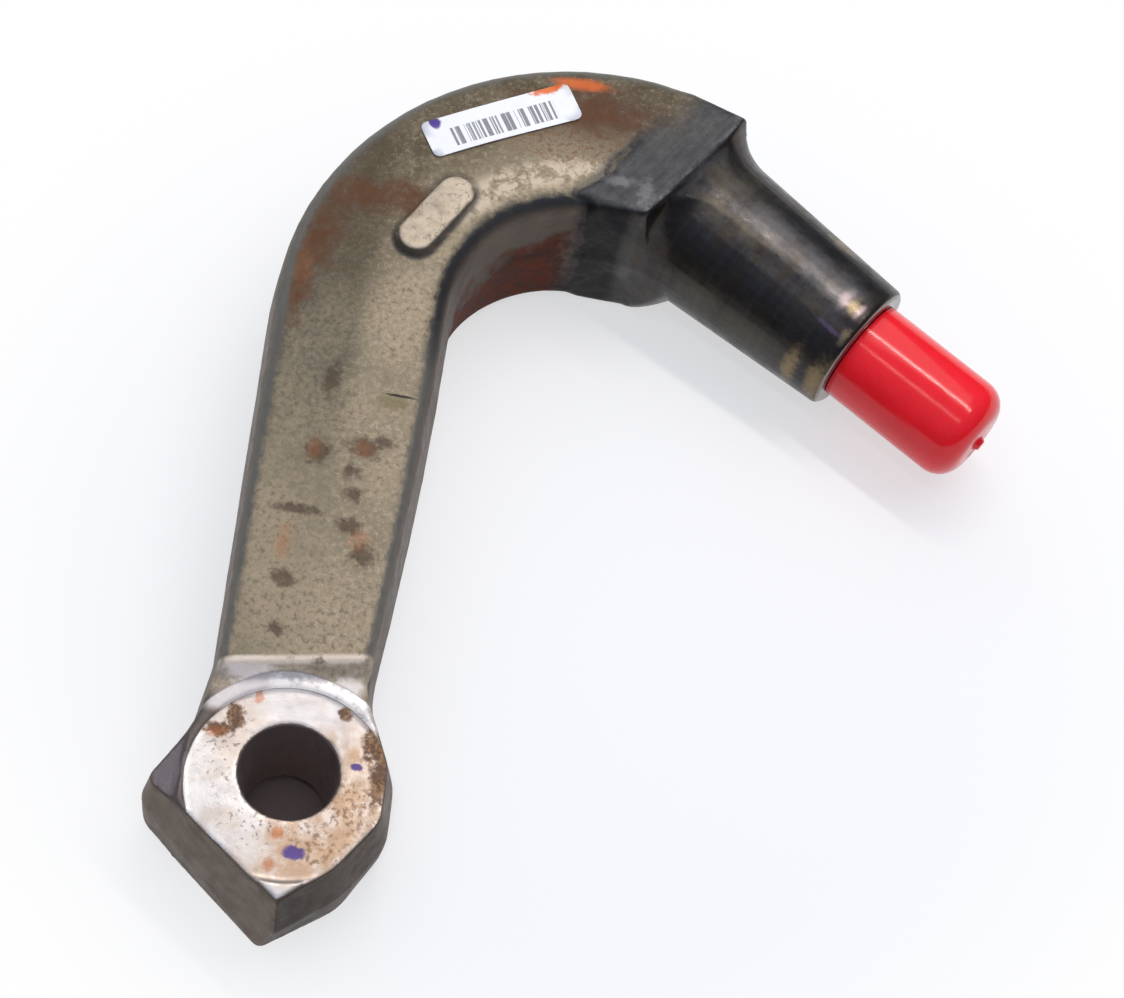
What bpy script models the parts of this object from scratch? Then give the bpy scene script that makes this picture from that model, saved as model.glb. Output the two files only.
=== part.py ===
"""Steering arm of a heavy truck, with the plastic thread cap and the paper label it is stored with.

The arm is one steel forging. Its eye takes the tapered stud of a ball joint, its body bends round
like a letter J, and its tapered shank and threaded stud go into the steering knuckle.

The forging frame has its origin in the eye's axis at the parting plane, Y along the straight arm
and Z along the eye's axis. The last section turns everything to how the arm lies on a bench.
"""

from math import atan2, cos, pi, radians, sin, sqrt, tan

import bmesh
import bpy
from mathutils import Matrix, Vector

MM = 0.001

# Eye: the flat-sided boss with the ball stud's taper hole
EYE_THICKNESS = 39.0 * MM
EYE_FORGED_EXTRA = 0.9 * MM
EYE_EDGE_RADIUS = 2.0 * MM
EYE_UPPER_DRAFT = radians(9.0)
EYE_LOWER_DRAFT = 0.0
BORE_MOUTH_DIAMETER = 31.75 * MM
BORE_TAPER = 1.0 / 8.0
SPOT_FACE_DIAMETER = 64.0 * MM
SPOT_FACE_SHIFT = -4.0 * MM
SPOT_FACE_WALL_ANGLE = radians(45.0)

# Corners of the eye at the parting plane: where its sides would meet, and their rounding
TIP = (3.2 * MM, -47.1 * MM, 2.0 * MM)
RIGHT_CHEEK = (22.4 * MM, -31.6 * MM, 28.0 * MM)
RIGHT_EAR = (34.2 * MM, -12.5 * MM, 16.0 * MM)
RIGHT_SIDE = (33.6 * MM, 8.0 * MM, 18.0 * MM)
LEFT_EAR = (-47.1 * MM, -9.3 * MM, 7.0 * MM)
LEFT_WAIST = (-34.0 * MM, 13.2 * MM, 40.0 * MM)
UPPER_CHEEK_LEAN = 1.0 * MM

# The same corners at the underside, where the forging is a little askew
LOW_TIP = (-1.0 * MM, -45.8 * MM, 3.0 * MM)
LOW_RIGHT_CHEEK = (22.1 * MM, -29.0 * MM, 20.0 * MM)
LOW_RIGHT_EAR = (33.2 * MM, -8.2 * MM, 11.0 * MM)
LOW_LEFT_EAR = (-46.6 * MM, -8.8 * MM, 7.5 * MM)

EAR_SLOPE_START = -32.5 * MM
EAR_SLOPE_ANGLE = radians(16.0)

# Straight arm
NECK_Y = 36.0 * MM
NECK_SKEW = 5.0 * MM
NECK_WIDTH = 52.8 * MM
NECK_MIDDLE_X = -3.9 * MM
NECK_THICKNESS = 49.0 * MM
NECK_SLOPE_RUN = 7.0 * MM
NECK_EDGE_RADIUS = 5.0 * MM
NECK_WAIST_RADIUS = 22.0 * MM
FORGING_DRAFT = radians(6.0)

# Bend
BEND_CENTRE_X = 71.5 * MM
BEND_CENTRE_Y = 172.7 * MM
BEND_INNER_RADIUS = 43.5 * MM
BEND_OUTER_RADIUS = 106.0 * MM
BEND_THICKNESS = 65.0 * MM
BEND_EDGE_RADIUS = 8.5 * MM
BEND_CROWN_DROP = 3.0 * MM
BEND_INNER_END = radians(97.0)
BEND_OUTER_END = radians(77.0)

# Raised pad on the bend's inner half, a share of the way from its inner to its outer wall
PAD_SHARE = 0.312
PAD_ANGLE = radians(150.5)
PAD_LENGTH = 37.0 * MM
PAD_WIDTH = 15.0 * MM
PAD_HEIGHT = 2.4 * MM
PAD_DRAFT_RUN = 1.6 * MM

# Shoulder block and tapered shank
SHANK_END_X = 171.2 * MM
SHANK_END_Y = 198.0 * MM
SHANK_TURN = radians(-33.4)
SHANK_END_DIAMETER = 48.8 * MM
SHANK_TAPER = 1.0 / 8.0
SHANK_LENGTH = 66.0 * MM
SHANK_CHAMFER = 1.5 * MM
SHOULDER_FILLET = 15.0 * MM
SHOULDER_SETBACK = SHANK_LENGTH + SHOULDER_FILLET
SHOULDER_THICKNESS = 64.0 * MM
SHOULDER_INNER = 31.0 * MM
SHOULDER_OUTER = 29.2 * MM
SHOULDER_EDGE_RADIUS = 3.0 * MM
SHOULDER_BELLY = 5.0 * MM
SHOULDER_LOBE = 1.6

# Stud, as a plain core without its thread
STUD_LENGTH = 43.0 * MM
STUD_CORE_DIAMETER = 33.4 * MM
STUD_RELIEF_DEPTH = 1.2 * MM
STUD_RELIEF_LENGTH = 4.0 * MM
STUD_CHAMFER = 2.5 * MM

# Thread cap, which fits over the stud with room for the thread
CAP_WALL = 1.45 * MM
CAP_CLEARANCE = 0.75 * MM
CAP_DIAMETER = STUD_CORE_DIAMETER + 2.0 * (CAP_CLEARANCE + CAP_WALL)
CAP_END_WALL = 2.2 * MM
CAP_END_ROOM = 7.4 * MM
CAP_LENGTH = STUD_LENGTH + CAP_END_ROOM + CAP_END_WALL
CAP_END_RADIUS = 9.5 * MM
CAP_NUB_DIAMETER = 6.0 * MM
CAP_NUB_HEIGHT = 1.7 * MM

# Label, a share of the way from the bend's inner to its outer wall
LABEL_LENGTH = 55.0 * MM
LABEL_WIDTH = 15.9 * MM
LABEL_CORNER_RADIUS = 2.5 * MM
LABEL_THICKNESS = 0.25 * MM
LABEL_SHARE = 0.6256
LABEL_ANGLE = radians(117.2)
LABEL_TURN = radians(28.5)

# Densities that decide how the arm lies at rest, in kg per cubic metre
STEEL_DENSITY = 7850.0
VINYL_DENSITY = 1200.0

# Clearance kept between separate pieces, and the smallest corner that is rounded
GAP = 0.3 * MM
MIN_RADIUS = 0.2 * MM

# How finely round shapes are divided
QUARTER_POINTS = 12
BEND_STATIONS = 22
FILLET_STATIONS = 7
ARM_STATIONS = 5
CAP_SEGMENTS = 56
SHARP_CORNER_FACETS = 6
BLUNT_CORNER_FACETS = 4
LEFT_EAR_FACETS = 9
LABEL_COLUMNS = 14
LABEL_ROWS = 4


def clear_scene():
    for item in list(bpy.data.objects):
        bpy.data.objects.remove(item, do_unlink=True)


def make_material(name, colour, roughness, metallic):
    material = bpy.data.materials.new(name)
    material.use_nodes = True
    shader = material.node_tree.nodes["Principled BSDF"]
    shader.inputs["Base Color"].default_value = (*colour, 1.0)
    shader.inputs["Roughness"].default_value = roughness
    shader.inputs["Metallic"].default_value = metallic
    return material


def make_object(name, bm, material=None):
    """Turn a bmesh into a named object with its faces pointing outwards."""
    bmesh.ops.recalc_face_normals(bm, faces=bm.faces)
    mesh = bpy.data.meshes.new(name)
    bm.to_mesh(mesh)
    bm.free()
    if material:
        mesh.materials.append(material)
    item = bpy.data.objects.new(name, mesh)
    bpy.context.scene.collection.objects.link(item)
    return item


def make_tool(name, bm):
    """A hidden shape that is joined to, or cut from, another one."""
    item = make_object(name, bm)
    item.hide_render = True
    item.display_type = "WIRE"
    return item


def combine(item, tool, operation):
    modifier = item.modifiers.new(tool.name, "BOOLEAN")
    modifier.operation = operation
    modifier.solver = "EXACT"
    modifier.object = tool


def loft(bm, rings):
    """Skin a row of rings that all have the same number of points, and cap both ends."""
    rows = [[bm.verts.new(point) for point in ring] for ring in rings]
    count = len(rows[0])
    for first, second in zip(rows, rows[1:]):
        for index in range(count):
            after = (index + 1) % count
            bm.faces.new((first[index], first[after], second[after], second[index]))
    bm.faces.new(list(reversed(rows[0])))
    bm.faces.new(rows[-1])


def round_corners(corners):
    """Outline through corners (x, y, radius, facets), each replaced by an arc tangent to its sides."""
    outline = []
    for index, (x, y, radius, facets) in enumerate(corners):
        here = Vector((x, y))
        back = (Vector(corners[index - 1][:2]) - here).normalized()
        ahead = (Vector(corners[(index + 1) % len(corners)][:2]) - here).normalized()
        half = back.angle(ahead) / 2.0
        centre = here + (back + ahead).normalized() * (radius / sin(half))
        start = here + back * (radius / tan(half)) - centre
        end = here + ahead * (radius / tan(half)) - centre
        sweep = atan2(start.x * end.y - start.y * end.x, start.dot(end))
        for facet in range(facets + 1):
            turn = Matrix.Rotation(sweep * facet / facets, 2)
            outline.append(centre + turn @ start)
    return outline


def inset(corners, distance):
    """Move an anticlockwise outline's corners inwards, with their arcs kept concentric."""
    moved = []
    for index, (x, y, radius, facets) in enumerate(corners):
        here = Vector((x, y))
        back = (here - Vector(corners[index - 1][:2])).normalized()
        ahead = (Vector(corners[(index + 1) % len(corners)][:2]) - here).normalized()
        inward = Vector((-back.y, back.x))
        bisector = (inward + Vector((-ahead.y, ahead.x))).normalized()
        place = here + bisector * (distance / bisector.dot(inward))
        convex = back.x * ahead.y - back.y * ahead.x > 0.0
        radius = max(radius - distance, MIN_RADIUS) if convex else radius + distance
        moved.append((place.x, place.y, radius, facets))
    return moved


def between(upper, lower, share):
    """Corner a share of the way from one corner to another."""
    return tuple(mix(first, second, share) for first, second in zip(upper, lower))


def edge_profile(half_height, radius, draft, steps):
    """Inset and height pairs, from the parting plane up a drafted wall and round its edge."""
    wall_top = half_height - radius * (1.0 - sin(draft))
    wall_inset = wall_top * tan(draft)
    profile = [(0.0, 0.0)]
    for step in range(steps + 1):
        angle = draft + (pi / 2.0 - draft) * step / steps
        run = wall_inset + radius * (cos(draft) - cos(angle))
        profile.append((run, wall_top + radius * (sin(angle) - sin(draft))))
    return profile


def eye_body():
    """Forged boss: a drafted block with a pointed end, a long left ear and a blunt right one."""
    neck_left = NECK_MIDDLE_X - NECK_WIDTH / 2.0
    neck_right = NECK_MIDDLE_X + NECK_WIDTH / 2.0
    buried_y = NECK_Y + NECK_SKEW
    half = EYE_THICKNESS / 2.0 + EYE_FORGED_EXTRA
    upper = edge_profile(half, EYE_EDGE_RADIUS, EYE_UPPER_DRAFT, 3)
    lower = edge_profile(half, EYE_EDGE_RADIUS, EYE_LOWER_DRAFT, 3)
    profile = [(run, -height) for run, height in reversed(lower[1:])] + upper
    rings = []
    for run, height in profile:
        lean = UPPER_CHEEK_LEAN * max(0.0, height) / half
        low = max(0.0, -height) / half
        cheek_x, cheek_y, cheek_radius = RIGHT_CHEEK
        cheek = (cheek_x - lean * sin(pi / 4.0), cheek_y + lean * cos(pi / 4.0), cheek_radius)
        corners = [
            (*between(TIP, LOW_TIP, low), SHARP_CORNER_FACETS),
            (*between(cheek, LOW_RIGHT_CHEEK, low), BLUNT_CORNER_FACETS),
            (*between(RIGHT_EAR, LOW_RIGHT_EAR, low), BLUNT_CORNER_FACETS),
            (*RIGHT_SIDE, BLUNT_CORNER_FACETS),
            (neck_right, NECK_Y - NECK_SLOPE_RUN / 2.0, NECK_WAIST_RADIUS, 3),
            (neck_right, buried_y, MIN_RADIUS, 2),
            (neck_left, buried_y, MIN_RADIUS, 2),
            (*LEFT_WAIST, BLUNT_CORNER_FACETS),
            (*between(LEFT_EAR, LOW_LEFT_EAR, low), LEFT_EAR_FACETS),
        ]
        outline = round_corners(inset(corners, run))
        rings.append([(point.x, point.y, height) for point in outline])
    bm = bmesh.new()
    loft(bm, rings)
    return bm


def section_points(inner, outer, half_height, radius, drop, draft):
    """Closed drafted section between an inner and an outer rail point, QUARTER_POINTS a quarter.

    It runs from the outer parting point over the top to the inner one and back underneath. The
    outer half of the top falls away by drop.
    """
    across = (outer - inner).normalized()
    half_width = (outer - inner).length / 2.0
    middle = (outer + inner) / 2.0
    quarters = []
    for side, fall in ((1.0, drop), (-1.0, 0.0)):
        top = half_height - fall
        corner_steps = QUARTER_POINTS - 4
        wall = edge_profile(top, radius, draft, corner_steps)
        flat = half_width - wall[-1][0]
        quarter = [(half_width - run, height) for run, height in wall]
        quarter.insert(1, (half_width - wall[1][0] / 2.0, wall[1][1] / 2.0))
        quarter.append((flat / 2.0, top + fall / 2.0))
        quarters.append([(side * u, height) for u, height in quarter])
    crown = (0.0, half_height)
    upper = quarters[0] + [crown] + list(reversed(quarters[1]))
    lower = [(u, -height) for u, height in reversed(upper[1:-1])]
    return [(*(middle + across * u), height) for u, height in upper + lower]


def circle_point(index, count, along, radius):
    """Point of a ring about the shank's axis, matched with the same point of a section."""
    angle = 2.0 * pi * index / count
    flat = shank_point(along, radius * cos(angle))
    return Vector((flat.x, flat.y, radius * sin(angle)))


def shank_point(along, lateral):
    """Plan point a distance along the shank's axis from its end face, and to its left."""
    axis = Vector((cos(SHANK_TURN), sin(SHANK_TURN)))
    left = Vector((-axis.y, axis.x))
    return Vector((SHANK_END_X, SHANK_END_Y)) + axis * along + left * lateral


def bend_point(radius, angle):
    return Vector((BEND_CENTRE_X + radius * cos(angle), BEND_CENTRE_Y + radius * sin(angle)))


def across_bend(share, angle):
    """Plan point a share of the way from the bend's inner wall to its outer wall."""
    return bend_point(mix(BEND_INNER_RADIUS, BEND_OUTER_RADIUS, share), angle)


def mix(first, second, share):
    return first + (second - first) * share


def ease(share):
    return share * share * (3.0 - 2.0 * share)


def body_rings():
    """Rings of the whole bar: neck, straight arm, bend, shoulder, fillet, shank and stud."""
    eye_half = EYE_THICKNESS / 2.0
    neck_half = NECK_THICKNESS / 2.0
    bend_half = BEND_THICKNESS / 2.0
    rings = []

    # Inside the eye, then up the slope to the neck, which runs a little askew
    left = Vector((NECK_MIDDLE_X - NECK_WIDTH / 2.0, NECK_Y - NECK_SKEW))
    right = Vector((NECK_MIDDLE_X + NECK_WIDTH / 2.0, NECK_Y + NECK_SKEW))
    edge = NECK_EDGE_RADIUS / 2.0
    for depth in (NECK_Y / 2.0, NECK_SLOPE_RUN):
        back = Vector((0.0, -depth))
        rings.append(section_points(right + back, left + back, eye_half - GAP, edge, 0.0, FORGING_DRAFT))

    # Straight arm, whose right side bellies out a little
    arm_inner_end = bend_point(BEND_INNER_RADIUS, pi)
    arm_outer_end = bend_point(BEND_OUTER_RADIUS, pi)
    for station in range(ARM_STATIONS):
        share = station / ARM_STATIONS
        radius = mix(NECK_EDGE_RADIUS, BEND_EDGE_RADIUS, share)
        half = mix(neck_half, bend_half, 0.6 * share)
        drop = BEND_CROWN_DROP * share
        inner = right.lerp(arm_inner_end, share)
        inner.x = mix(right.x, arm_inner_end.x, 1.0 - (1.0 - share) ** 2)
        outer = left.lerp(arm_outer_end, share)
        rings.append(section_points(inner, outer, half, radius, drop, FORGING_DRAFT))

    # Bend
    for station in range(BEND_STATIONS + 1):
        share = station / BEND_STATIONS
        half = mix(mix(neck_half, bend_half, 0.6), bend_half, ease(min(1.0, 1.6 * share)))
        inner = bend_point(BEND_INNER_RADIUS, mix(pi, BEND_INNER_END, share))
        outer = bend_point(BEND_OUTER_RADIUS, mix(pi, BEND_OUTER_END, share))
        draft = mix(FORGING_DRAFT, FORGING_DRAFT / 2.0, share)
        drop = BEND_CROWN_DROP * (1.0 - ease(max(0.0, 2.0 * share - 1.0)))
        rings.append(section_points(inner, outer, half, BEND_EDGE_RADIUS, drop, draft))

    # Shoulder block, whose top falls towards the shank
    block_inner = shank_point(-SHOULDER_SETBACK, -SHOULDER_INNER)
    block_outer = shank_point(-SHOULDER_SETBACK, SHOULDER_OUTER)
    bend_inner = bend_point(BEND_INNER_RADIUS, BEND_INNER_END)
    bend_outer = bend_point(BEND_OUTER_RADIUS, BEND_OUTER_END)
    shoulder_half = SHOULDER_THICKNESS / 2.0
    for share in (0.2, 1.0):
        radius = mix(0.75 * BEND_EDGE_RADIUS, SHOULDER_EDGE_RADIUS, share)
        half = mix(bend_half, shoulder_half, share)
        inner = bend_inner.lerp(block_inner, share)
        outer = bend_outer.lerp(block_outer, share)
        rings.append(section_points(inner, outer, half, radius, 0.0, FORGING_DRAFT / 2.0))

    # The block's front face bellies out, and a fillet takes it to the shank. Low at the inner wall
    # it is a full, rounded lobe instead
    block = [Vector(point) for point in rings.pop()]
    starts = []
    fullness = []
    for point in block:
        inward = (point.xy - block_outer).length / (block_inner - block_outer).length
        low = min(1.0, max(0.0, 0.5 - point.z / shoulder_half))
        lobe = ease(low) * ease(max(0.0, 2.0 * inward - 1.0))
        belly = SHOULDER_BELLY * (1.0 - (max(0.0, point.z) / shoulder_half) ** 2)
        starts.append(-SHOULDER_SETBACK + belly * (1.0 - lobe))
        fullness.append(lobe)
    for station in range(FILLET_STATIONS + 1):
        share = station / FILLET_STATIONS
        hollow = 1.0 - sqrt(1.0 - (1.0 - share) ** 2)
        ring = []
        for index, corner in enumerate(block):
            keep = mix(hollow, 1.0 - share ** SHOULDER_LOBE, fullness[index])
            along = mix(starts[index], -SHANK_LENGTH, share)
            radius = SHANK_END_DIAMETER / 2.0 - along * SHANK_TAPER / 2.0
            shift = shank_point(along, 0.0) - shank_point(-SHOULDER_SETBACK, 0.0)
            moved = corner + Vector((shift.x, shift.y, 0.0))
            ring.append(tuple(circle_point(index, len(block), along, radius).lerp(moved, keep)))
        rings.append(ring)

    # Shank, its end face, the thread's relief groove and the stud
    end_radius = SHANK_END_DIAMETER / 2.0
    core = STUD_CORE_DIAMETER / 2.0
    relief = core - STUD_RELIEF_DEPTH
    turned = [
        (-SHANK_CHAMFER, end_radius + SHANK_CHAMFER * SHANK_TAPER / 2.0),
        (0.0, end_radius - SHANK_CHAMFER),
        (0.0, relief),
        (STUD_RELIEF_LENGTH, relief),
        (STUD_RELIEF_LENGTH + STUD_RELIEF_DEPTH, core),
        (STUD_LENGTH - STUD_CHAMFER, core),
        (STUD_LENGTH, core - STUD_CHAMFER),
    ]
    for along, radius in turned:
        circle = [tuple(circle_point(index, len(block), along, radius)) for index in range(len(block))]
        rings.append(circle)
    return rings


def turned_body(profile, segments):
    """Body of revolution from (height, radius) pairs about Z, closed at both ends."""
    rings = []
    for height, radius in profile:
        ring = [(radius * cos(2.0 * pi * k / segments), radius * sin(2.0 * pi * k / segments), height)
                for k in range(segments)]
        rings.append(ring)
    bm = bmesh.new()
    loft(bm, rings)
    return bm


def spot_face_cutter():
    """Facing tool with a tapered wall, standing on the finished face of the eye."""
    face = EYE_THICKNESS / 2.0
    reach = NECK_THICKNESS
    flare = (reach - face) / tan(SPOT_FACE_WALL_ANGLE)
    radius = SPOT_FACE_DIAMETER / 2.0
    return turned_body([(face, radius), (reach, radius + flare)], 72)


def ear_slope_cutter():
    """Wedge that lets the left ear's face fall away from the machined face."""
    size = EYE_THICKNESS
    bm = bmesh.new()
    bmesh.ops.create_cube(bm, size=2.0 * size)
    bm.transform(Matrix.Translation((-size, 0.0, size)))
    bm.transform(Matrix.Rotation(-EAR_SLOPE_ANGLE, 4, "Y"))
    bm.transform(Matrix.Translation((EAR_SLOPE_START, 0.0, EYE_THICKNESS / 2.0)))
    return bm


def bore_cutter():
    """Taper of the ball stud, widest at the top face."""
    half = EYE_THICKNESS / 2.0
    reach = EYE_THICKNESS
    mouth = BORE_MOUTH_DIAMETER / 2.0
    upper = mouth + (reach - half) * BORE_TAPER / 2.0
    lower = mouth - (reach + half) * BORE_TAPER / 2.0
    return turned_body([(-reach, lower), (reach, upper)], 64)


def pad_body():
    """Raised slot-shaped pad with drafted sides."""
    half_width = PAD_WIDTH / 2.0
    straight = PAD_LENGTH / 2.0 - half_width
    root = -BEND_EDGE_RADIUS

    def slot(radius, height):
        ring = []
        for end in (1.0, -1.0):
            for step in range(13):
                angle = pi * step / 12 - (pi / 2.0) * end
                ring.append((end * straight + radius * cos(angle), radius * sin(angle), height))
        return ring

    bm = bmesh.new()
    levels = [(half_width, root), (half_width, 0.0), (half_width - PAD_DRAFT_RUN, PAD_HEIGHT)]
    loft(bm, [slot(radius, height) for radius, height in levels])
    place = across_bend(PAD_SHARE, PAD_ANGLE)
    heading = PAD_ANGLE - pi / 2.0
    height = top_height(PAD_ANGLE)
    bm.transform(Matrix.Translation((place.x, place.y, height)) @ Matrix.Rotation(heading, 4, "Z"))
    return bm


def top_height(angle):
    """Height of the bend's crown line at an angle about the bend's centre."""
    share = (pi - angle) / (pi - (BEND_INNER_END + BEND_OUTER_END) / 2.0)
    start = mix(NECK_THICKNESS, BEND_THICKNESS, 0.6) / 2.0
    return mix(start, BEND_THICKNESS / 2.0, ease(min(1.0, 1.6 * share)))


def make_arm():
    steel = make_material("forged_steel", (0.20, 0.17, 0.14), 0.5, 0.85)
    bm = bmesh.new()
    loft(bm, body_rings())
    arm = make_object("steering_arm", bm, steel)
    combine(arm, make_tool("eye_body", eye_body()), "UNION")
    combine(arm, make_tool("pad_body", pad_body()), "UNION")
    for side, mirror in (("upper", 1.0), ("lower", -1.0)):
        slope = ear_slope_cutter()
        facing = spot_face_cutter()
        bmesh.ops.translate(facing, verts=facing.verts, vec=(0.0, SPOT_FACE_SHIFT, 0.0))
        for name, bm in (("ear_slope", slope), ("spot_face", facing)):
            bmesh.ops.scale(bm, verts=bm.verts, vec=(1.0, 1.0, mirror))
            combine(arm, make_tool(side + "_" + name, bm), "DIFFERENCE")
    combine(arm, make_tool("ball_stud_bore", bore_cutter()), "DIFFERENCE")
    return arm


def cap_profile():
    """Outside of the cap, and its inside, as (distance, radius) pairs from rim to tip and back."""
    outer = CAP_DIAMETER / 2.0
    inner = outer - CAP_WALL
    inner_radius = CAP_END_RADIUS - CAP_WALL
    bottom = CAP_LENGTH - CAP_END_WALL
    nub = CAP_NUB_DIAMETER / 2.0
    outside = [(0.0, outer)]
    for step in range(9):
        angle = (pi / 2.0) * step / 8
        along = CAP_LENGTH - CAP_END_RADIUS * (1.0 - sin(angle))
        outside.append((along, outer - CAP_END_RADIUS * (1.0 - cos(angle))))
    outside += [(CAP_LENGTH, nub), (CAP_LENGTH + CAP_NUB_HEIGHT, nub * 0.6)]
    inside = []
    for step in range(7):
        angle = (pi / 2.0) * (1.0 - step / 6)
        along = bottom - inner_radius * (1.0 - sin(angle))
        inside.append((along, inner - inner_radius * (1.0 - cos(angle))))
    inside.append((0.0, inner))
    return outside, inside


def make_cap():
    """Dip-moulded cap, spun about its own axis and pushed on to the stud."""
    vinyl = make_material("red_vinyl", (0.75, 0.01, 0.02), 0.25, 0.0)
    outside, inside = cap_profile()
    profile = [(outside[-1][0], 0.0)] + list(reversed(outside))
    profile += list(reversed(inside)) + [(inside[0][0], 0.0)]
    bm = bmesh.new()
    verts = [bm.verts.new((radius, 0.0, along)) for along, radius in profile]
    edges = [bm.edges.new(pair) for pair in zip(verts, verts[1:])]
    bmesh.ops.spin(bm, geom=verts + edges, cent=(0.0, 0.0, 0.0), axis=(0.0, 0.0, 1.0),
                   angle=2.0 * pi, steps=CAP_SEGMENTS, use_merge=True)
    bmesh.ops.remove_doubles(bm, verts=bm.verts, dist=0.01 * MM)
    cap = make_object("thread_cap", bm, vinyl)
    place = shank_point(GAP, 0.0)
    cap.location = (place.x, place.y, 0.0)
    cap.rotation_euler = (0.0, pi / 2.0, SHANK_TURN)
    return cap


def make_label(arm):
    """Paper label that follows the bend's top face."""
    paper = make_material("label_paper", (0.85, 0.86, 0.88), 0.6, 0.0)
    half_length = LABEL_LENGTH / 2.0
    half_width = LABEL_WIDTH / 2.0
    corners = [
        (half_length, -half_width, LABEL_CORNER_RADIUS, BLUNT_CORNER_FACETS),
        (half_length, half_width, LABEL_CORNER_RADIUS, BLUNT_CORNER_FACETS),
        (-half_length, half_width, LABEL_CORNER_RADIUS, BLUNT_CORNER_FACETS),
        (-half_length, -half_width, LABEL_CORNER_RADIUS, BLUNT_CORNER_FACETS),
    ]
    outline = round_corners(corners)
    bm = bmesh.new()
    bm.faces.new([bm.verts.new((point.x, point.y, 0.0)) for point in outline])
    cuts = []
    for column in range(1, LABEL_COLUMNS):
        cuts.append(((LABEL_LENGTH * column / LABEL_COLUMNS - half_length, 0.0, 0.0), (1.0, 0.0, 0.0)))
    for row in range(1, LABEL_ROWS):
        cuts.append(((0.0, LABEL_WIDTH * row / LABEL_ROWS - half_width, 0.0), (0.0, 1.0, 0.0)))
    for point, direction in cuts:
        geometry = list(bm.verts) + list(bm.edges) + list(bm.faces)
        bmesh.ops.bisect_plane(bm, geom=geometry, plane_co=point, plane_no=direction)
    label = make_object("label", bm, paper)
    place = across_bend(LABEL_SHARE, LABEL_ANGLE)
    label.location = (place.x, place.y, BEND_THICKNESS)
    label.rotation_euler = (0.0, 0.0, LABEL_TURN)
    wrap = label.modifiers.new("lie_on_bend", "SHRINKWRAP")
    wrap.target = arm
    wrap.wrap_method = "PROJECT"
    wrap.use_project_z = True
    wrap.use_negative_direction = True
    wrap.use_positive_direction = False
    wrap.wrap_mode = "ABOVE_SURFACE"
    wrap.offset = GAP
    paper_wall = label.modifiers.new("thickness", "SOLIDIFY")
    paper_wall.thickness = LABEL_THICKNESS
    paper_wall.offset = 1.0
    return label


def shade_round(item):
    item.data.shade_smooth()
    item.data.set_sharp_from_angle(angle=radians(30.0))


def weigh(pieces):
    """Every point of the finished pieces, and their common centre of mass."""
    graph = bpy.context.evaluated_depsgraph_get()
    points = []
    moment = Vector()
    mass = 0.0
    for piece, density in pieces:
        shape = piece.evaluated_get(graph)
        bm = bmesh.new()
        bm.from_mesh(shape.to_mesh())
        bm.transform(shape.matrix_world)
        shape.to_mesh_clear()
        points += [vert.co.copy() for vert in bm.verts]
        for first, second, third in (
            [loop.vert.co for loop in corners] for corners in bm.calc_loop_triangles()
        ):
            part_mass = density * first.dot(second.cross(third)) / 6.0
            moment += (first + second + third) * (part_mass / 4.0)
            mass += part_mass
        bm.free()
    return points, moment / mass


def find_rest(points, centre):
    """Transform that stands the hull's lowest facet under the centre of mass on the bench."""
    bm = bmesh.new()
    for point in points:
        bm.verts.new(point)
    bmesh.ops.convex_hull(bm, input=bm.verts)
    under = []
    for face in bm.faces:
        normal = face.normal
        foot = centre + normal * (face.verts[0].co - centre).dot(normal)
        corners = [loop.vert.co for loop in face.loops]
        sides = zip(corners, corners[1:] + corners[:1])
        if all((after - before).cross(foot - before).dot(normal) >= 0.0 for before, after in sides):
            under.append(normal.copy())
    bm.free()
    down = min(under, key=lambda normal: normal.z)
    level = down.rotation_difference(Vector((0.0, 0.0, -1.0))).to_matrix()
    turned = [level @ point for point in points]
    low = Vector([min(point[axis] for point in turned) for axis in range(3)])
    high = Vector([max(point[axis] for point in turned) for axis in range(3)])
    shift = Vector((-(low.x + high.x) / 2.0, -(low.y + high.y) / 2.0, -low.z))
    return Matrix.Translation(shift) @ level.to_4x4()


clear_scene()
steering_arm = make_arm()
thread_cap = make_cap()
label = make_label(steering_arm)
for piece in (steering_arm, thread_cap, label):
    shade_round(piece)

# Lay everything down: the arm rests on the underside of its bend and the rim of its eye
hull_points, mass_centre = weigh([(steering_arm, STEEL_DENSITY), (thread_cap, VINYL_DENSITY)])
rest = find_rest(hull_points, mass_centre)
for item in bpy.data.objects:
    item.matrix_world = rest @ item.matrix_world
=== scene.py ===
"""Looks of a heavy truck's forged steering arm, with its red thread cap and its paper label."""

import math

import bmesh
import bpy
import numpy as np
from mathutils import Euler, Matrix, Vector


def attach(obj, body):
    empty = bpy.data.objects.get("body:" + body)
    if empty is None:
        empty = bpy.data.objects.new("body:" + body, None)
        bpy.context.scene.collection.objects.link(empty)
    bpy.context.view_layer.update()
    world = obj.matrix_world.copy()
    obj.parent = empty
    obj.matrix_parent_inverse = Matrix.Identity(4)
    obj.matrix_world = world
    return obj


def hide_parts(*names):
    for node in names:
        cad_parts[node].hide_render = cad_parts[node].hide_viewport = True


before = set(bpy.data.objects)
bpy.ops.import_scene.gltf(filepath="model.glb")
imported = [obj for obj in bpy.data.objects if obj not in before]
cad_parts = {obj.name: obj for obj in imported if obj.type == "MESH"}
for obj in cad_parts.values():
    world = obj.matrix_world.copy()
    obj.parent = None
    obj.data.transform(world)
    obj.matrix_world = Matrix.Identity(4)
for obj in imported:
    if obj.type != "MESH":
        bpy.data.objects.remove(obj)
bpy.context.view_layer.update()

# The forging
# One steel forging, blasted and lightly rusted since, cut bright at the eye and black on its smooth
# shank. Its skin swells and pits, so the solid is remeshed finely and given relief.

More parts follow.
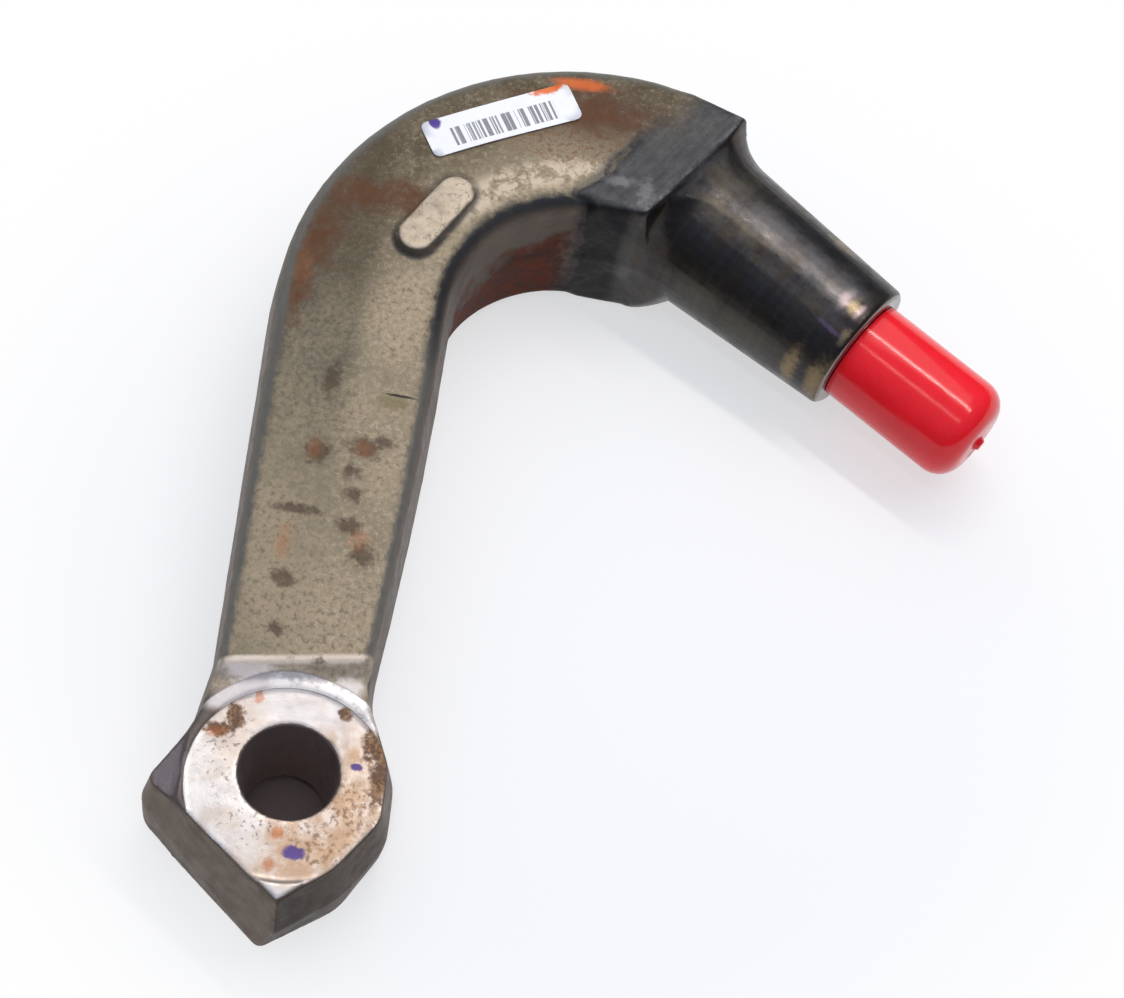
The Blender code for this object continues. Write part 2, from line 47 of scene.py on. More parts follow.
# Its own frame, in millimetres, has the bore as Z axis and the straight arm along +Y
MM = 0.001
REST_PLACE = Vector((-0.088615, -0.115941, 0.022792))
REST_TURN = Euler([math.radians(angle) for angle in (2.6943, 0.6879, 0.0162)])
rest = Matrix.Translation(REST_PLACE) @ REST_TURN.to_matrix().to_4x4()

SKIN_VOXEL = 0.75 * MM
SKIN_KEPT = 0.42
SWELL_HEIGHT = 0.5 * MM
SWELL_SIZE = 24.0 * MM
PIT_HEIGHT = 0.16 * MM
PIT_SIZE = 3.0 * MM
RELIEF_SINK = 0.68
BEND_CENTRE = Vector((71.5, 172.7, 0.0))
SHANK_END = Vector((171.2, 198.0, 0.0))
SHANK_TURN = math.radians(-33.4)
SHANK_AXIS = Vector((math.cos(SHANK_TURN), math.sin(SHANK_TURN), 0.0))
SHANK_SIDE = Vector((-math.sin(SHANK_TURN), math.cos(SHANK_TURN), 0.0))
SPOT_FACE_CENTRE = Vector((0.0, -4.0, 0.0))
PAD_CENTRE = (16.7, 203.7, 0.0)
PAD_TURN = math.radians(60.5)
PAD_STRAIGHT_HALF = 11.0


def put(tree, kind, sockets=None, **settings):
    """Add a node to a tree, with its settings and with values or links for its sockets."""
    node = tree.nodes.new(kind)
    for name, value in settings.items():
        setattr(node, name, value)
    for name, value in (sockets or {}).items():
        if isinstance(value, bpy.types.NodeSocket):
            tree.links.new(value, node.inputs[name])
        else:
            node.inputs[name].default_value = value
    return node


def calculate(tree, operation, *values, clamp=False):
    """Output of a math node, of shader and geometry trees alike."""
    sockets = dict(enumerate(values))
    return put(tree, "ShaderNodeMath", sockets, operation=operation, use_clamp=clamp).outputs[0]


def vector_math(tree, operation, *values):
    """Vector that a vector operation gives."""
    sockets = dict(enumerate(values))
    return put(tree, "ShaderNodeVectorMath", sockets, operation=operation).outputs[0]


def measure(tree, operation, *values):
    """Number that a vector operation gives, such as a length or a dot product."""
    sockets = dict(enumerate(values))
    return put(tree, "ShaderNodeVectorMath", sockets, operation=operation).outputs["Value"]


def start_tree(name, kind, inputs, outputs):
    """New node tree with named sockets, and its input and output nodes."""
    tree = bpy.data.node_groups.new(name, kind)
    for way, sockets in (("INPUT", inputs), ("OUTPUT", outputs)):
        for label, socket_type, value in sockets:
            socket = tree.interface.new_socket(label, in_out=way, socket_type=socket_type)
            if value is not None:
                socket.default_value = value
    return tree, tree.nodes.new("NodeGroupInput"), tree.nodes.new("NodeGroupOutput")


def flatten(item):
    """Replace an object's mesh by what its modifiers make of it."""
    graph = bpy.context.evaluated_depsgraph_get()
    mesh = bpy.data.meshes.new_from_object(item.evaluated_get(graph), depsgraph=graph)
    item.modifiers.clear()
    item.data = mesh


def apply_tree(item, tree, values):
    """Run a geometry tree on an object, and keep the result as the object's plain mesh."""
    modifier = item.modifiers.new(tree.name, "NODES")
    modifier.node_group = tree
    for socket in tree.interface.items_tree:
        if socket.in_out == "INPUT" and socket.name in values:
            modifier[socket.identifier] = values[socket.name]
    flatten(item)


def copy_node(name, copy_name):
    """Joined-up copy of a solid, whose triangles share their corners."""
    bm = bmesh.new()
    bm.from_mesh(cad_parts[name].data)
    bmesh.ops.remove_doubles(bm, verts=bm.verts, dist=0.01 * MM)
    mesh = bpy.data.meshes.new(copy_name)
    bm.to_mesh(mesh)
    bm.free()
    item = bpy.data.objects.new(copy_name, mesh)
    bpy.context.scene.collection.objects.link(item)
    return item


forging = copy_node("steering_arm", "forging")
remesh = forging.modifiers.new("even_mesh", "REMESH")
remesh.mode = "VOXEL"
remesh.voxel_size = SKIN_VOXEL
soften = forging.modifiers.new("soft_edges", "SMOOTH")
soften.factor = 0.5
soften.iterations = 3
flatten(forging)

# Cut faces keep their flat shape: the eye's two faces, its bore, the shank and the stud
CUT_FACE_HEIGHT = 18.9
CUT_FACE_RADIUS = 38.0
CUT_BORE_RADIUS = 17.0
CUT_SHANK_START = -74.0
CUT_SHANK_BLEND = 12.0
CUT_SHANK_LOWEST_SIDE = -50.0
points = np.empty(len(forging.data.vertices) * 3, np.float32)
forging.data.vertices.foreach_get("co", points)
to_forging = np.array(rest.inverted())
places = (points.reshape(-1, 3) @ to_forging[:3, :3].T + to_forging[:3, 3]) / MM
along = (places - np.array(SHANK_END)) @ np.array(SHANK_AXIS)
aside = (places - np.array(SHANK_END)) @ np.array(SHANK_SIDE)
bore_distance = np.hypot(places[:, 0], places[:, 1])
spot_distance = np.hypot(places[:, 0] - SPOT_FACE_CENTRE.x, places[:, 1] - SPOT_FACE_CENTRE.y)
face_cut = (np.abs(places[:, 2]) > CUT_FACE_HEIGHT) & (spot_distance < CUT_FACE_RADIUS)
shank_cut = np.clip((along - CUT_SHANK_START) / CUT_SHANK_BLEND, 0.0, 1.0)
shank_cut = shank_cut * (aside > CUT_SHANK_LOWEST_SIDE)
cut = np.maximum(np.maximum(face_cut, bore_distance < CUT_BORE_RADIUS), shank_cut).astype(np.float32)
forging.data.attributes.new("cut", "FLOAT", "POINT").data.foreach_set("value", cut)

relief, given, result = start_tree(
    "forged_relief",
    "GeometryNodeTree",
    [
        ("Forging", "NodeSocketGeometry", None),
        ("Swell Height", "NodeSocketFloat", SWELL_HEIGHT),
        ("Swell Size", "NodeSocketFloat", SWELL_SIZE),
        ("Pit Height", "NodeSocketFloat", PIT_HEIGHT),
        ("Pit Size", "NodeSocketFloat", PIT_SIZE),
        ("Steel", "NodeSocketMaterial", None),
    ],
    [("Forging", "NodeSocketGeometry", None)],
)
position = put(relief, "GeometryNodeInputPosition").outputs[0]
normal = put(relief, "GeometryNodeInputNormal").outputs[0]
spread = put(relief, "GeometryNodeBlurAttribute", {"Iterations": 6}, data_type="FLOAT_VECTOR")
relief.links.new(position, spread.inputs["Value"])
offset = vector_math(relief, "SUBTRACT", position, spread.outputs[0])
keep_edge = put(
    relief,
    "GeometryNodeStoreNamedAttribute",
    {
        "Geometry": given.outputs["Forging"],
        "Name": "edge",
        "Value": measure(relief, "DOT_PRODUCT", offset, normal),
    },
    data_type="FLOAT",
)
heights = []
for label, detail in (("Swell", 2.0), ("Pit", 3.0)):
    scale = calculate(relief, "DIVIDE", 1.0, given.outputs[label + " Size"])
    noise = put(relief, "ShaderNodeTexNoise", {"Vector": position, "Scale": scale, "Detail": detail})
    sunk = calculate(relief, "SUBTRACT", noise.outputs[0], RELIEF_SINK)
    heights.append(calculate(relief, "MULTIPLY", sunk, given.outputs[label + " Height"]))
height = calculate(relief, "ADD", *heights)
cut_share = put(relief, "GeometryNodeInputNamedAttribute", {"Name": "cut"}, data_type="FLOAT")
height = calculate(relief, "MULTIPLY", height, calculate(relief, "SUBTRACT", 1.0, cut_share.outputs[0]))
push = put(relief, "ShaderNodeVectorMath", {0: normal, "Scale": height}, operation="SCALE")
moved = put(
    relief,
    "GeometryNodeSetPosition",
    {"Geometry": keep_edge.outputs[0], "Offset": push.outputs[0]},
)
solid = put(relief, "GeometryNodeRealizeInstances", {"Geometry": moved.outputs[0]})
skinned = put(
    relief,
    "GeometryNodeSetMaterial",
    {"Geometry": solid.outputs[0], "Material": given.outputs["Steel"]},
)
relief.links.new(skinned.outputs[0], result.inputs["Forging"])


def shader_group(name, inputs, outputs):
    """New shader node group with named sockets."""
    return start_tree(name, "ShaderNodeTree", inputs, outputs)


def mix_colour(tree, share, first, second):
    """First colour where a share is 0, second where it is 1."""
    node = put(tree, "ShaderNodeMix", data_type="RGBA")
    for index, value in ((0, share), (6, first), (7, second)):
        if isinstance(value, bpy.types.NodeSocket):
            tree.links.new(value, node.inputs[index])
        else:
            node.inputs[index].default_value = value if index == 0 else (*value, 1.0)
    return node.outputs[2]


def fade(tree, value, low, high):
    """Smooth step of a value from 0 at low to 1 at high."""
    sockets = {"Value": value, "From Min": low, "From Max": high}
    return put(tree, "ShaderNodeMapRange", sockets, interpolation_type="SMOOTHSTEP").outputs["Result"]


def times(tree, *values):
    """Product of any number of values."""
    total = values[0]
    for value in values[1:]:
        total = calculate(tree, "MULTIPLY", total, value)
    return total


def plus(tree, *values):
    """Sum of any number of values."""
    total = values[0]
    for value in values[1:]:
        total = calculate(tree, "ADD", total, value)
    return total


def union(tree, *masks):
    """Largest of any number of masks."""
    total = masks[0]
    for mask in masks[1:]:
        total = calculate(tree, "MAXIMUM", total, mask)
    return total


def without(tree, mask, share=1.0):
    """What a mask leaves over, when it counts for a share."""
    return calculate(tree, "SUBTRACT", 1.0, calculate(tree, "MULTIPLY", mask, share))


def tint(tree, base, mask, share, colour):
    """Lay a share of a colour over a base, where a mask stands."""
    return mix_colour(tree, calculate(tree, "MULTIPLY", mask, share), base, colour)


# Grain, used by every piece: slow clouds, a mottle, a fine grain, and the height they make
grain_group, given, result = shader_group(
    "grain",
    [
        ("Place", "NodeSocketVector", None),
        ("Cloud Size", "NodeSocketFloat", 30.0),
        ("Mottle Size", "NodeSocketFloat", 4.0),
        ("Grain Size", "NodeSocketFloat", 0.7),
    ],
    [
        ("Cloud", "NodeSocketFloat", None),
        ("Mottle", "NodeSocketFloat", None),
        ("Grain", "NodeSocketFloat", None),
        ("Height", "NodeSocketFloat", None),
    ],
)
parts = []
for label, detail, rough in (("Cloud", 4.0, 0.55), ("Mottle", 6.0, 0.66), ("Grain", 4.0, 0.7)):
    scale = calculate(grain_group, "DIVIDE", 1.0, given.outputs[label + " Size"])
    sockets = {"Vector": given.outputs["Place"], "Scale": scale, "Detail": detail, "Roughness": rough}
    noise = put(grain_group, "ShaderNodeTexNoise", sockets)
    grain_group.links.new(fade(grain_group, noise.outputs[0], 0.32, 0.68), result.inputs[label])
    parts.append(noise.outputs[0])
coarse = calculate(grain_group, "MULTIPLY", parts[1], 0.8)
fine = calculate(grain_group, "MULTIPLY", parts[2], 0.2)
grain_group.links.new(calculate(grain_group, "ADD", coarse, fine), result.inputs["Height"])

# Stain, used by every piece: a ragged patch round a place
stain_group, given, result = shader_group(
    "stain",
    [
        ("Place", "NodeSocketVector", None),
        ("Centre", "NodeSocketVector", (0.0, 0.0, 0.0)),
        ("Reach", "NodeSocketVector", (5.0, 5.0, 5.0)),
        ("Ragged", "NodeSocketFloat", 1.0),
        ("Ragged Size", "NodeSocketFloat", 4.0),
        ("Softness", "NodeSocketFloat", 0.35),
    ],
    [("Mask", "NodeSocketFloat", None)],
)
away = vector_math(stain_group, "SUBTRACT", given.outputs["Place"], given.outputs["Centre"])
away = vector_math(stain_group, "DIVIDE", away, given.outputs["Reach"])
scale = calculate(stain_group, "DIVIDE", 1.0, given.outputs["Ragged Size"])
sockets = {"Vector": given.outputs["Place"], "Scale": scale, "Detail": 5.0, "Roughness": 0.65}
noise = put(stain_group, "ShaderNodeTexNoise", sockets)
wander = calculate(stain_group, "SUBTRACT", noise.outputs[0], 0.5)
wander = times(stain_group, wander, given.outputs["Ragged"], 3.0)
rim_place = calculate(stain_group, "ADD", measure(stain_group, "LENGTH", away), wander)
low = calculate(stain_group, "SUBTRACT", 1.0, given.outputs["Softness"])
high = calculate(stain_group, "ADD", 1.0, given.outputs["Softness"])
outside = fade(stain_group, rim_place, low, high)
stain_group.links.new(calculate(stain_group, "SUBTRACT", 1.0, outside), result.inputs["Mask"])


def grain(tree, place, cloud_size, mottle_size, grain_size):
    """Cloud, mottle, fine grain and the height they make, at sizes in millimetres."""
    sockets = {
        "Place": place,
        "Cloud Size": cloud_size,
        "Mottle Size": mottle_size,
        "Grain Size": grain_size,
    }
    return put(tree, "ShaderNodeGroup", sockets, node_tree=grain_group).outputs


def place_in_forging(tree):
    """Object coordinates turned into the forging's frame, in millimetres."""
    sockets = {
        "Vector": put(tree, "ShaderNodeTexCoord").outputs["Object"],
        "Location": REST_PLACE,
        "Rotation": REST_TURN,
        "Scale": (MM, MM, MM),
    }
    return put(tree, "ShaderNodeMapping", sockets, vector_type="TEXTURE").outputs[0]


def stain(tree, place, centre, reach, ragged, ragged_size, softness):
    """Mask of one ragged patch round a centre, with its reach along each axis."""
    sockets = {
        "Place": place,
        "Centre": centre,
        "Reach": reach,
        "Ragged": ragged,
        "Ragged Size": ragged_size,
        "Softness": softness,
    }
    return put(tree, "ShaderNodeGroup", sockets, node_tree=stain_group).outputs["Mask"]


def stains(tree, place, patches, ragged, ragged_size, softness):
    """Several patches, each (centre, reach), with one kind of rim."""
    masks = [stain(tree, place, *patch, ragged, ragged_size, softness) for patch in patches]
    return union(tree, *masks)


steel = bpy.data.materials.new("forged_steel")
steel.use_nodes = True
tree = steel.node_tree
shader = tree.nodes["Principled BSDF"]
shader.inputs["Specular IOR Level"].default_value = 0.3
place = place_in_forging(tree)
x, y, z = put(tree, "ShaderNodeSeparateXYZ", {0: place}).outputs
off_middle = calculate(tree, "ABSOLUTE", z)
plan = vector_math(tree, "MULTIPLY", place, (1.0, 1.0, 0.0))
cloud, mottle, _, uneven = grain(tree, place, 34.0, 5.0, 0.9)
patchy, speckle, dust, fine_uneven = grain(tree, place, 11.0, 1.8, 0.4)
geometry_normal = put(tree, "ShaderNodeNewGeometry").outputs["Normal"]
facing = measure(tree, "DOT_PRODUCT", geometry_normal, REST_TURN.to_matrix().col[2])
upright = calculate(tree, "ABSOLUTE", facing)
edge = put(tree, "ShaderNodeAttribute", attribute_name="edge").outputs["Fac"]
edge = fade(tree, edge, 0.03 * MM, 0.20 * MM)
bend_radius = measure(tree, "DISTANCE", plan, BEND_CENTRE)
spot_radius = measure(tree, "DISTANCE", plan, SPOT_FACE_CENTRE)
bore_radius = measure(tree, "LENGTH", plan)
from_end = vector_math(tree, "SUBTRACT", place, SHANK_END)
shank_along = measure(tree, "DOT_PRODUCT", from_end, SHANK_AXIS)
shank_side = measure(tree, "DOT_PRODUCT", from_end, SHANK_SIDE)
sockets = {"Vector": place, "Location": PAD_CENTRE, "Rotation": (0.0, 0.0, PAD_TURN)}
at_pad = put(tree, "ShaderNodeMapping", sockets, vector_type="TEXTURE").outputs[0]
pad_u, pad_v, _ = put(tree, "ShaderNodeSeparateXYZ", {0: at_pad}).outputs
past_straight = calculate(tree, "SUBTRACT", calculate(tree, "ABSOLUTE", pad_u), PAD_STRAIGHT_HALF)
past_straight = calculate(tree, "MAXIMUM", past_straight, 0.0)
from_pad = put(tree, "ShaderNodeCombineXYZ", {0: past_straight, 1: pad_v}).outputs[0]
pad_edge = measure(tree, "LENGTH", from_pad)
pad_reach = times(tree, fade(tree, pad_edge, 9.4, 7.4), fade(tree, z, 20.0, 22.0))

# Blasted skin of the straight arm, with painted shade darkening its left half and painted light lifting
# its right half, and of the bend, dark outside
DARK_SKIN = (0.094, 0.082, 0.056)
PALE_SKIN = (0.342, 0.275, 0.182)
BEND_SKIN = (0.080, 0.058, 0.031)
WORN_SKIN_AND_HIGHLIGHT = (0.60, 0.50, 0.37)
POCK_BROWN = (0.075, 0.058, 0.042)
tone = plus(tree, times(tree, cloud, 0.28), times(tree, mottle, 0.30), times(tree, speckle, 0.22))
# Painted light and shade: the right half of the straight arm is lifted lighter and its left half darker,
# as light falls on its crown
lit_right_half = fade(tree, x, -7.0, 5.0)
shaded_left_half = calculate(tree, "SUBTRACT", times(tree, fade(tree, y, 150.0, 90.0), 0.42), 0.16)
painted_light_lift = plus(tree, times(tree, lit_right_half, 0.33), times(tree, shaded_left_half, without(tree, lit_right_half)))
tone = calculate(tree, "ADD", tone, painted_light_lift, clamp=True)
skin = mix_colour(tree, tone, DARK_SKIN, PALE_SKIN)
in_bend = fade(tree, y, 150.0, 196.0)
far_out = times(tree, fade(tree, bend_radius, 56.0, 84.0), in_bend)
skin = tint(tree, skin, far_out, calculate(tree, "SUBTRACT", 0.95, times(tree, patchy, 0.35)), BEND_SKIN)
# A pale streak along the bend's inner top edge: partly wear, partly a painted highlight on the edge's
# round
worn_streak_and_highlight = times(tree, fade(tree, bend_radius, 50.0, 55.0), fade(tree, bend_radius, 66.0, 60.0),
               fade(tree, y, 196.0, 210.0), fade(tree, mottle, 0.15, 0.7))
skin = tint(tree, skin, worn_streak_and_highlight, 0.8, WORN_SKIN_AND_HIGHLIGHT)
# Pale flecks: partly wear, partly painted glints, with more of them on the lit right half
flecks_and_glints = fade(tree, times(tree, dust, speckle), 0.34, 0.80)
skin = tint(tree, skin, flecks_and_glints, plus(tree, 0.10, times(tree, lit_right_half, 0.28)), WORN_SKIN_AND_HIGHLIGHT)
pocks = times(tree, fade(tree, speckle, 0.30, 0.04), fade(tree, cloud, 0.2, 0.8))
skin = tint(tree, skin, pocks, 0.40, POCK_BROWN)

# Rust on it: broad patches, specks and spots
RUST_DEEP = (0.070, 0.034, 0.019)
RUST_BROWN = (0.128, 0.052, 0.022)
RUST_ORANGE = (0.36, 0.115, 0.032)
BROWNED_SKIN = (0.058, 0.043, 0.031)
OLIVE_SMEAR = (0.16, 0.13, 0.055)
NICK_DARK = (0.02, 0.018, 0.015)
browned = stain(tree, place, (70.0, 258.0, 30.0), (15.0, 10.0, 14.0), 0.5, 8.0, 0.9)
skin = tint(tree, skin, browned, 0.6, BROWNED_SKIN)
broad = [
    ((-12.0, 209.0, 30.0), (12.0, 7.0, 16.0)),
    ((-21.5, 192.0, 30.0), (7.0, 13.0, 16.0)),
    ((-25.5, 170.0, 30.0), (5.0, 11.0, 16.0)),
    ((4.0, 208.0, 30.0), (12.0, 6.0, 16.0)),
    ((64.0, 256.0, 30.0), (20.0, 8.0, 14.0)),
]
broad_rust = stains(tree, place, broad, 0.8, 8.0, 0.6)
broad_rust = times(tree, broad_rust, plus(tree, 0.6, times(tree, mottle, 0.35)))
skin = mix_colour(tree, broad_rust, skin, RUST_BROWN)
speckled = stain(tree, place, (60.0, 241.0, 30.0), (28.0, 8.0, 14.0), 0.5, 8.0, 0.5)
specks = times(tree, speckled, fade(tree, speckle, 0.45, 0.75))
skin = tint(tree, skin, specks, 0.7, RUST_BROWN)
spots = [
    ((6.8, 113.0, 26.0), (5.4, 3.4, 9.0)),
    ((12.5, 116.0, 26.0), (3.4, 1.8, 9.0)),
    ((3.5, 103.5, 26.0), (3.2, 2.2, 9.0)),
    ((5.0, 95.6, 26.0), (2.6, 2.2, 9.0)),
    ((5.4, 84.5, 26.0), (4.0, 2.4, 9.0)),
    ((11.6, 75.0, 26.0), (3.6, 3.4, 9.0)),
    ((-8.8, 109.2, 26.0), (3.8, 4.0, 9.0)),
    ((-12.0, 87.7, 26.0), (6.6, 1.6, 9.0)),
    ((-12.6, 63.0, 26.0), (4.0, 2.6, 9.0)),
    ((-8.3, 136.0, 26.0), (2.2, 5.0, 9.0)),
    ((-12.0, 45.0, 26.0), (2.4, 2.0, 9.0)),
]
spot_mask = stains(tree, place, spots, 1.1, 2.6, 0.55)
spot_mask = times(tree, spot_mask, plus(tree, 0.55, times(tree, speckle, 0.4)))
skin = tint(tree, skin, spot_mask, 0.85, RUST_DEEP)
halos = [
    ((-14.4, 76.0, 26.0), (2.4, 6.0, 9.0)),
    ((-9.5, 110.0, 26.0), (2.4, 3.0, 9.0)),
    ((9.6, 80.0, 26.0), (3.0, 3.4, 9.0)),
    ((-25.0, 178.0, 30.0), (3.0, 6.0, 9.0)),
    ((6.0, 112.5, 26.0), (3.0, 2.4, 9.0)),
]
skin = tint(tree, skin, stains(tree, place, halos, 1.0, 3.0, 0.7), 0.34, RUST_ORANGE)
olive = stain(tree, place, (13.0, 131.0, 27.0), (5.0, 2.2, 9.0), 0.6, 3.0, 0.5)
skin = tint(tree, skin, olive, 0.6, OLIVE_SMEAR)
nick = stain(tree, place, (15.2, 133.8, 27.0), (4.6, 0.38, 9.0), 0.12, 3.0, 0.5)
skin = tint(tree, skin, nick, 0.9, NICK_DARK)

# Walls: a painted dark band of shade along the edges, brownish below, and painted shade on the right of
# the eye's tip
WALL_SKIN = (0.170, 0.127, 0.092)
WALL_STAIN = (0.105, 0.074, 0.056)
SIDE_EDGE_SHADE = (0.165, 0.157, 0.134)
INNER_EDGE_SHADE = (0.040, 0.039, 0.039)
TIP_SHADE = (0.040, 0.028, 0.021)
TIP_RUST = (0.15, 0.085, 0.05)
across_neck = calculate(tree, "SUBTRACT", y, times(tree, x, 0.19))
at_neck = times(tree, fade(tree, across_neck, 39.0, 37.0), fade(tree, y, 19.0, 23.0),
                fade(tree, off_middle, 18.5, 19.5))
# Painted shade: the rounded edges and walls get a dark band, darkest inside the bend; the steep walls
# below take their own brownish colour
slope = plus(tree, upright, times(tree, calculate(tree, "SUBTRACT", mottle, 0.5), 0.07))
walls_and_edge_shade = times(tree, fade(tree, slope, 0.995, 0.80), without(tree, at_neck), without(tree, pad_reach))
low_wall = fade(tree, upright, 0.72, 0.25)
inner_edge = times(tree, fade(tree, bend_radius, 62.0, 50.0), fade(tree, y, 130.0, 175.0))
edge_shade_colour = mix_colour(tree, inner_edge, SIDE_EDGE_SHADE, INNER_EDGE_SHADE)
edge_shade_colour = mix_colour(tree, fade(tree, y, 36.0, 22.0), edge_shade_colour, WALL_SKIN)
low_colour = tint(tree, WALL_SKIN, patchy, plus(tree, 0.35, times(tree, cloud, 0.5)), WALL_STAIN)
low_share = plus(tree, 0.55, times(tree, mottle, 0.45))
wall_colour = tint(tree, edge_shade_colour, low_wall, low_share, low_colour)
# Painted shade: the eye's walls that face right are darkened, more so towards the tip
facing_right = measure(tree, "DOT_PRODUCT", geometry_normal, (0.9, -0.44, 0.0))
shaded_right_of_tip = times(tree, fade(tree, facing_right, 0.55, 0.80), fade(tree, y, -4.0, -16.0))
tip_shade_share = plus(tree, 0.55, times(tree, fade(tree, y, -26.0, -42.0), 0.35))
wall_colour = tint(tree, wall_colour, shaded_right_of_tip, tip_shade_share, TIP_SHADE)
low_tip = stain(tree, place, (-7.0, -42.0, -14.0), (14.0, 12.0, 7.0), 0.3, 5.0, 0.8)
wall_colour = tint(tree, wall_colour, low_tip, 0.35, TIP_RUST)

# Rust low inside the bend, over the dark edge
INNER_RUST_DEEP = (0.048, 0.011, 0.005)
INNER_RUST_BRIGHT = (0.165, 0.032, 0.008)
inner_wall = times(tree, fade(tree, bend_radius, 50.0, 46.0), fade(tree, y, 150.0, 172.0))
rust_line = plus(tree, z, times(tree, patchy, 14.0), times(tree, x, -0.45))
rust_end = plus(tree, shank_along, times(tree, mottle, 4.0))
inner_rust = times(tree, inner_wall, fade(tree, rust_line, 2.0, -16.0),
                   fade(tree, rust_end, -94.0, -101.0))
inner_colour = mix_colour(tree, mottle, INNER_RUST_DEEP, INNER_RUST_BRIGHT)
wall_colour = tint(tree, wall_colour, inner_rust, 0.95, inner_colour)
skin = mix_colour(tree, walls_and_edge_shade, skin, wall_colour)
# Convex edges lightened: partly wear, partly a painted highlight along them
worn_and_highlit_edge = times(tree, edge, fade(tree, mottle, 0.25, 0.8), without(tree, low_wall),
                  fade(tree, y, 20.0, 32.0))
skin = tint(tree, skin, worn_and_highlit_edge, 0.55, WORN_SKIN_AND_HIGHLIGHT)

# Neck, where the arm steps down to the eye: half blasted, rubbed bright at its corners, with a painted
# highlight along its lip
NECK_DARK = (0.36, 0.285, 0.205)
NECK_PALE = (0.58, 0.47, 0.37)
NECK_BRIGHT = (0.86, 0.77, 0.70)
NECK_LIP_HIGHLIGHT = (0.80, 0.67, 0.54)
EYE_LAND = (0.120, 0.098, 0.090)
EAR_SCALE = (0.215, 0.180, 0.188)
neck_skin = mix_colour(tree, mottle, NECK_DARK, NECK_PALE)
skin = tint(tree, skin, at_neck, plus(tree, 0.30, times(tree, speckle, 0.45)), neck_skin)
corners = [
    ((-18.5, 31.5, 22.0), (7.5, 4.5, 6.0)),
    ((14.5, 31.0, 22.0), (4.2, 3.2, 6.0)),
]
bright_corners = times(tree, stains(tree, place, corners, 0.6, 3.0, 0.6), at_neck)
skin = tint(tree, skin, bright_corners, 0.9, NECK_BRIGHT)
# Painted highlight: a pale line along the neck's lip
lip_highlight = times(tree, at_neck, fade(tree, off_middle, 22.9, 23.9), fade(tree, mottle, 0.0, 0.45))
skin = mix_colour(tree, lip_highlight, skin, NECK_LIP_HIGHLIGHT)
land = times(tree, fade(tree, spot_radius, 32.0, 32.6), fade(tree, off_middle, 16.0, 18.0),
             fade(tree, y, 25.0, 19.0), fade(tree, x, -18.0, -22.0))
skin = tint(tree, skin, land, 0.8, EYE_LAND)
ear = times(tree, fade(tree, x, -31.8, -32.6), fade(tree, off_middle, 12.0, 14.0),
            fade(tree, upright, 0.85, 0.92))
skin = tint(tree, skin, ear, 0.85, EAR_SCALE)

# Pad: its blasted top stands paler, with pits, and painted shade round its foot, darkest on the side
# facing the camera
PAD_SKIN = (0.58, 0.485, 0.365)
PAD_SHADE_AND_PITS = (0.048, 0.045, 0.042)
on_pad = times(tree, fade(tree, pad_edge, 6.4, 5.6), fade(tree, z, 20.0, 22.0))
pad_foot_shade = times(tree, pad_reach, without(tree, on_pad))
# Painted shade round the pad's foot, darker on the side that faces the camera
front_side = measure(tree, "DOT_PRODUCT", geometry_normal, (0.3, -0.95, 0.0))
pad_shade_share = plus(tree, 0.12, times(tree, fade(tree, front_side, -0.30, 0.30), 0.70))
pad_shade_share = times(tree, pad_shade_share, fade(tree, mottle, -0.6, 0.5))
skin = tint(tree, skin, pad_foot_shade, pad_shade_share, PAD_SHADE_AND_PITS)
skin = tint(tree, skin, on_pad, plus(tree, 0.45, times(tree, mottle, 0.55)), PAD_SKIN)
pad_pits = times(tree, on_pad, fade(tree, speckle, 0.30, 0.0))
skin = tint(tree, skin, pad_pits, 0.45, PAD_SHADE_AND_PITS)

# Scale from the heat treatment: where it starts, blurred on the outer side and crisp on the inner
CREASE_SHADE = (0.018, 0.018, 0.02)
near_end = fade(tree, shank_side, -56.0, -48.0)
ragged = times(tree, calculate(tree, "SUBTRACT", cloud, 0.5), 5.0)
scale_place = plus(tree, shank_along, ragged, times(tree, inner_wall, -6.0))
outward = times(tree, fade(tree, shank_side, -12.0, 14.0), fade(tree, upright, 0.5, 0.8))
blurred = fade(tree, plus(tree, scale_place, times(tree, patchy, 5.0)), -107.0, -88.0)
crisp = fade(tree, scale_place, -104.5, -101.5)
scale_share = plus(tree, times(tree, blurred, outward), times(tree, crisp, without(tree, outward)))
scale_share = times(tree, scale_share, near_end)
# Painted shade in a crease along the scale's inner edge, where the surface is only bumped in
shaded_crease = times(tree, fade(tree, scale_place, -106.5, -103.5), fade(tree, scale_place, -99.0, -102.5))
shaded_crease = times(tree, shaded_crease, near_end, without(tree, outward, 0.85),
               plus(tree, 0.5, times(tree, mottle, 0.5)))

# Shoulder: a facet brushed by grinding, with painted glints on it and along its edges
FACET_DARK = (0.050, 0.050, 0.051)
FACET_SCALE = (0.078, 0.078, 0.077)
FACET_PAINTED_GLINT = (0.22, 0.22, 0.225)
SIDE_SCALE_DARK = (0.008, 0.007, 0.009)
SIDE_SCALE_PALE = (0.024, 0.020, 0.020)
sockets = {0: times(tree, shank_along, 0.9), 1: times(tree, shank_side, 0.07), 2: times(tree, z, 0.9)}
brushed = put(tree, "ShaderNodeCombineXYZ", sockets).outputs[0]
sockets = {"Vector": brushed, "Scale": 0.8, "Detail": 5.0, "Roughness": 0.6}
brush = fade(tree, put(tree, "ShaderNodeTexNoise", sockets).outputs[0], 0.30, 0.70)
brush = plus(tree, times(tree, brush, 0.6), times(tree, patchy, 0.4))
facet = mix_colour(tree, brush, FACET_DARK, FACET_SCALE)
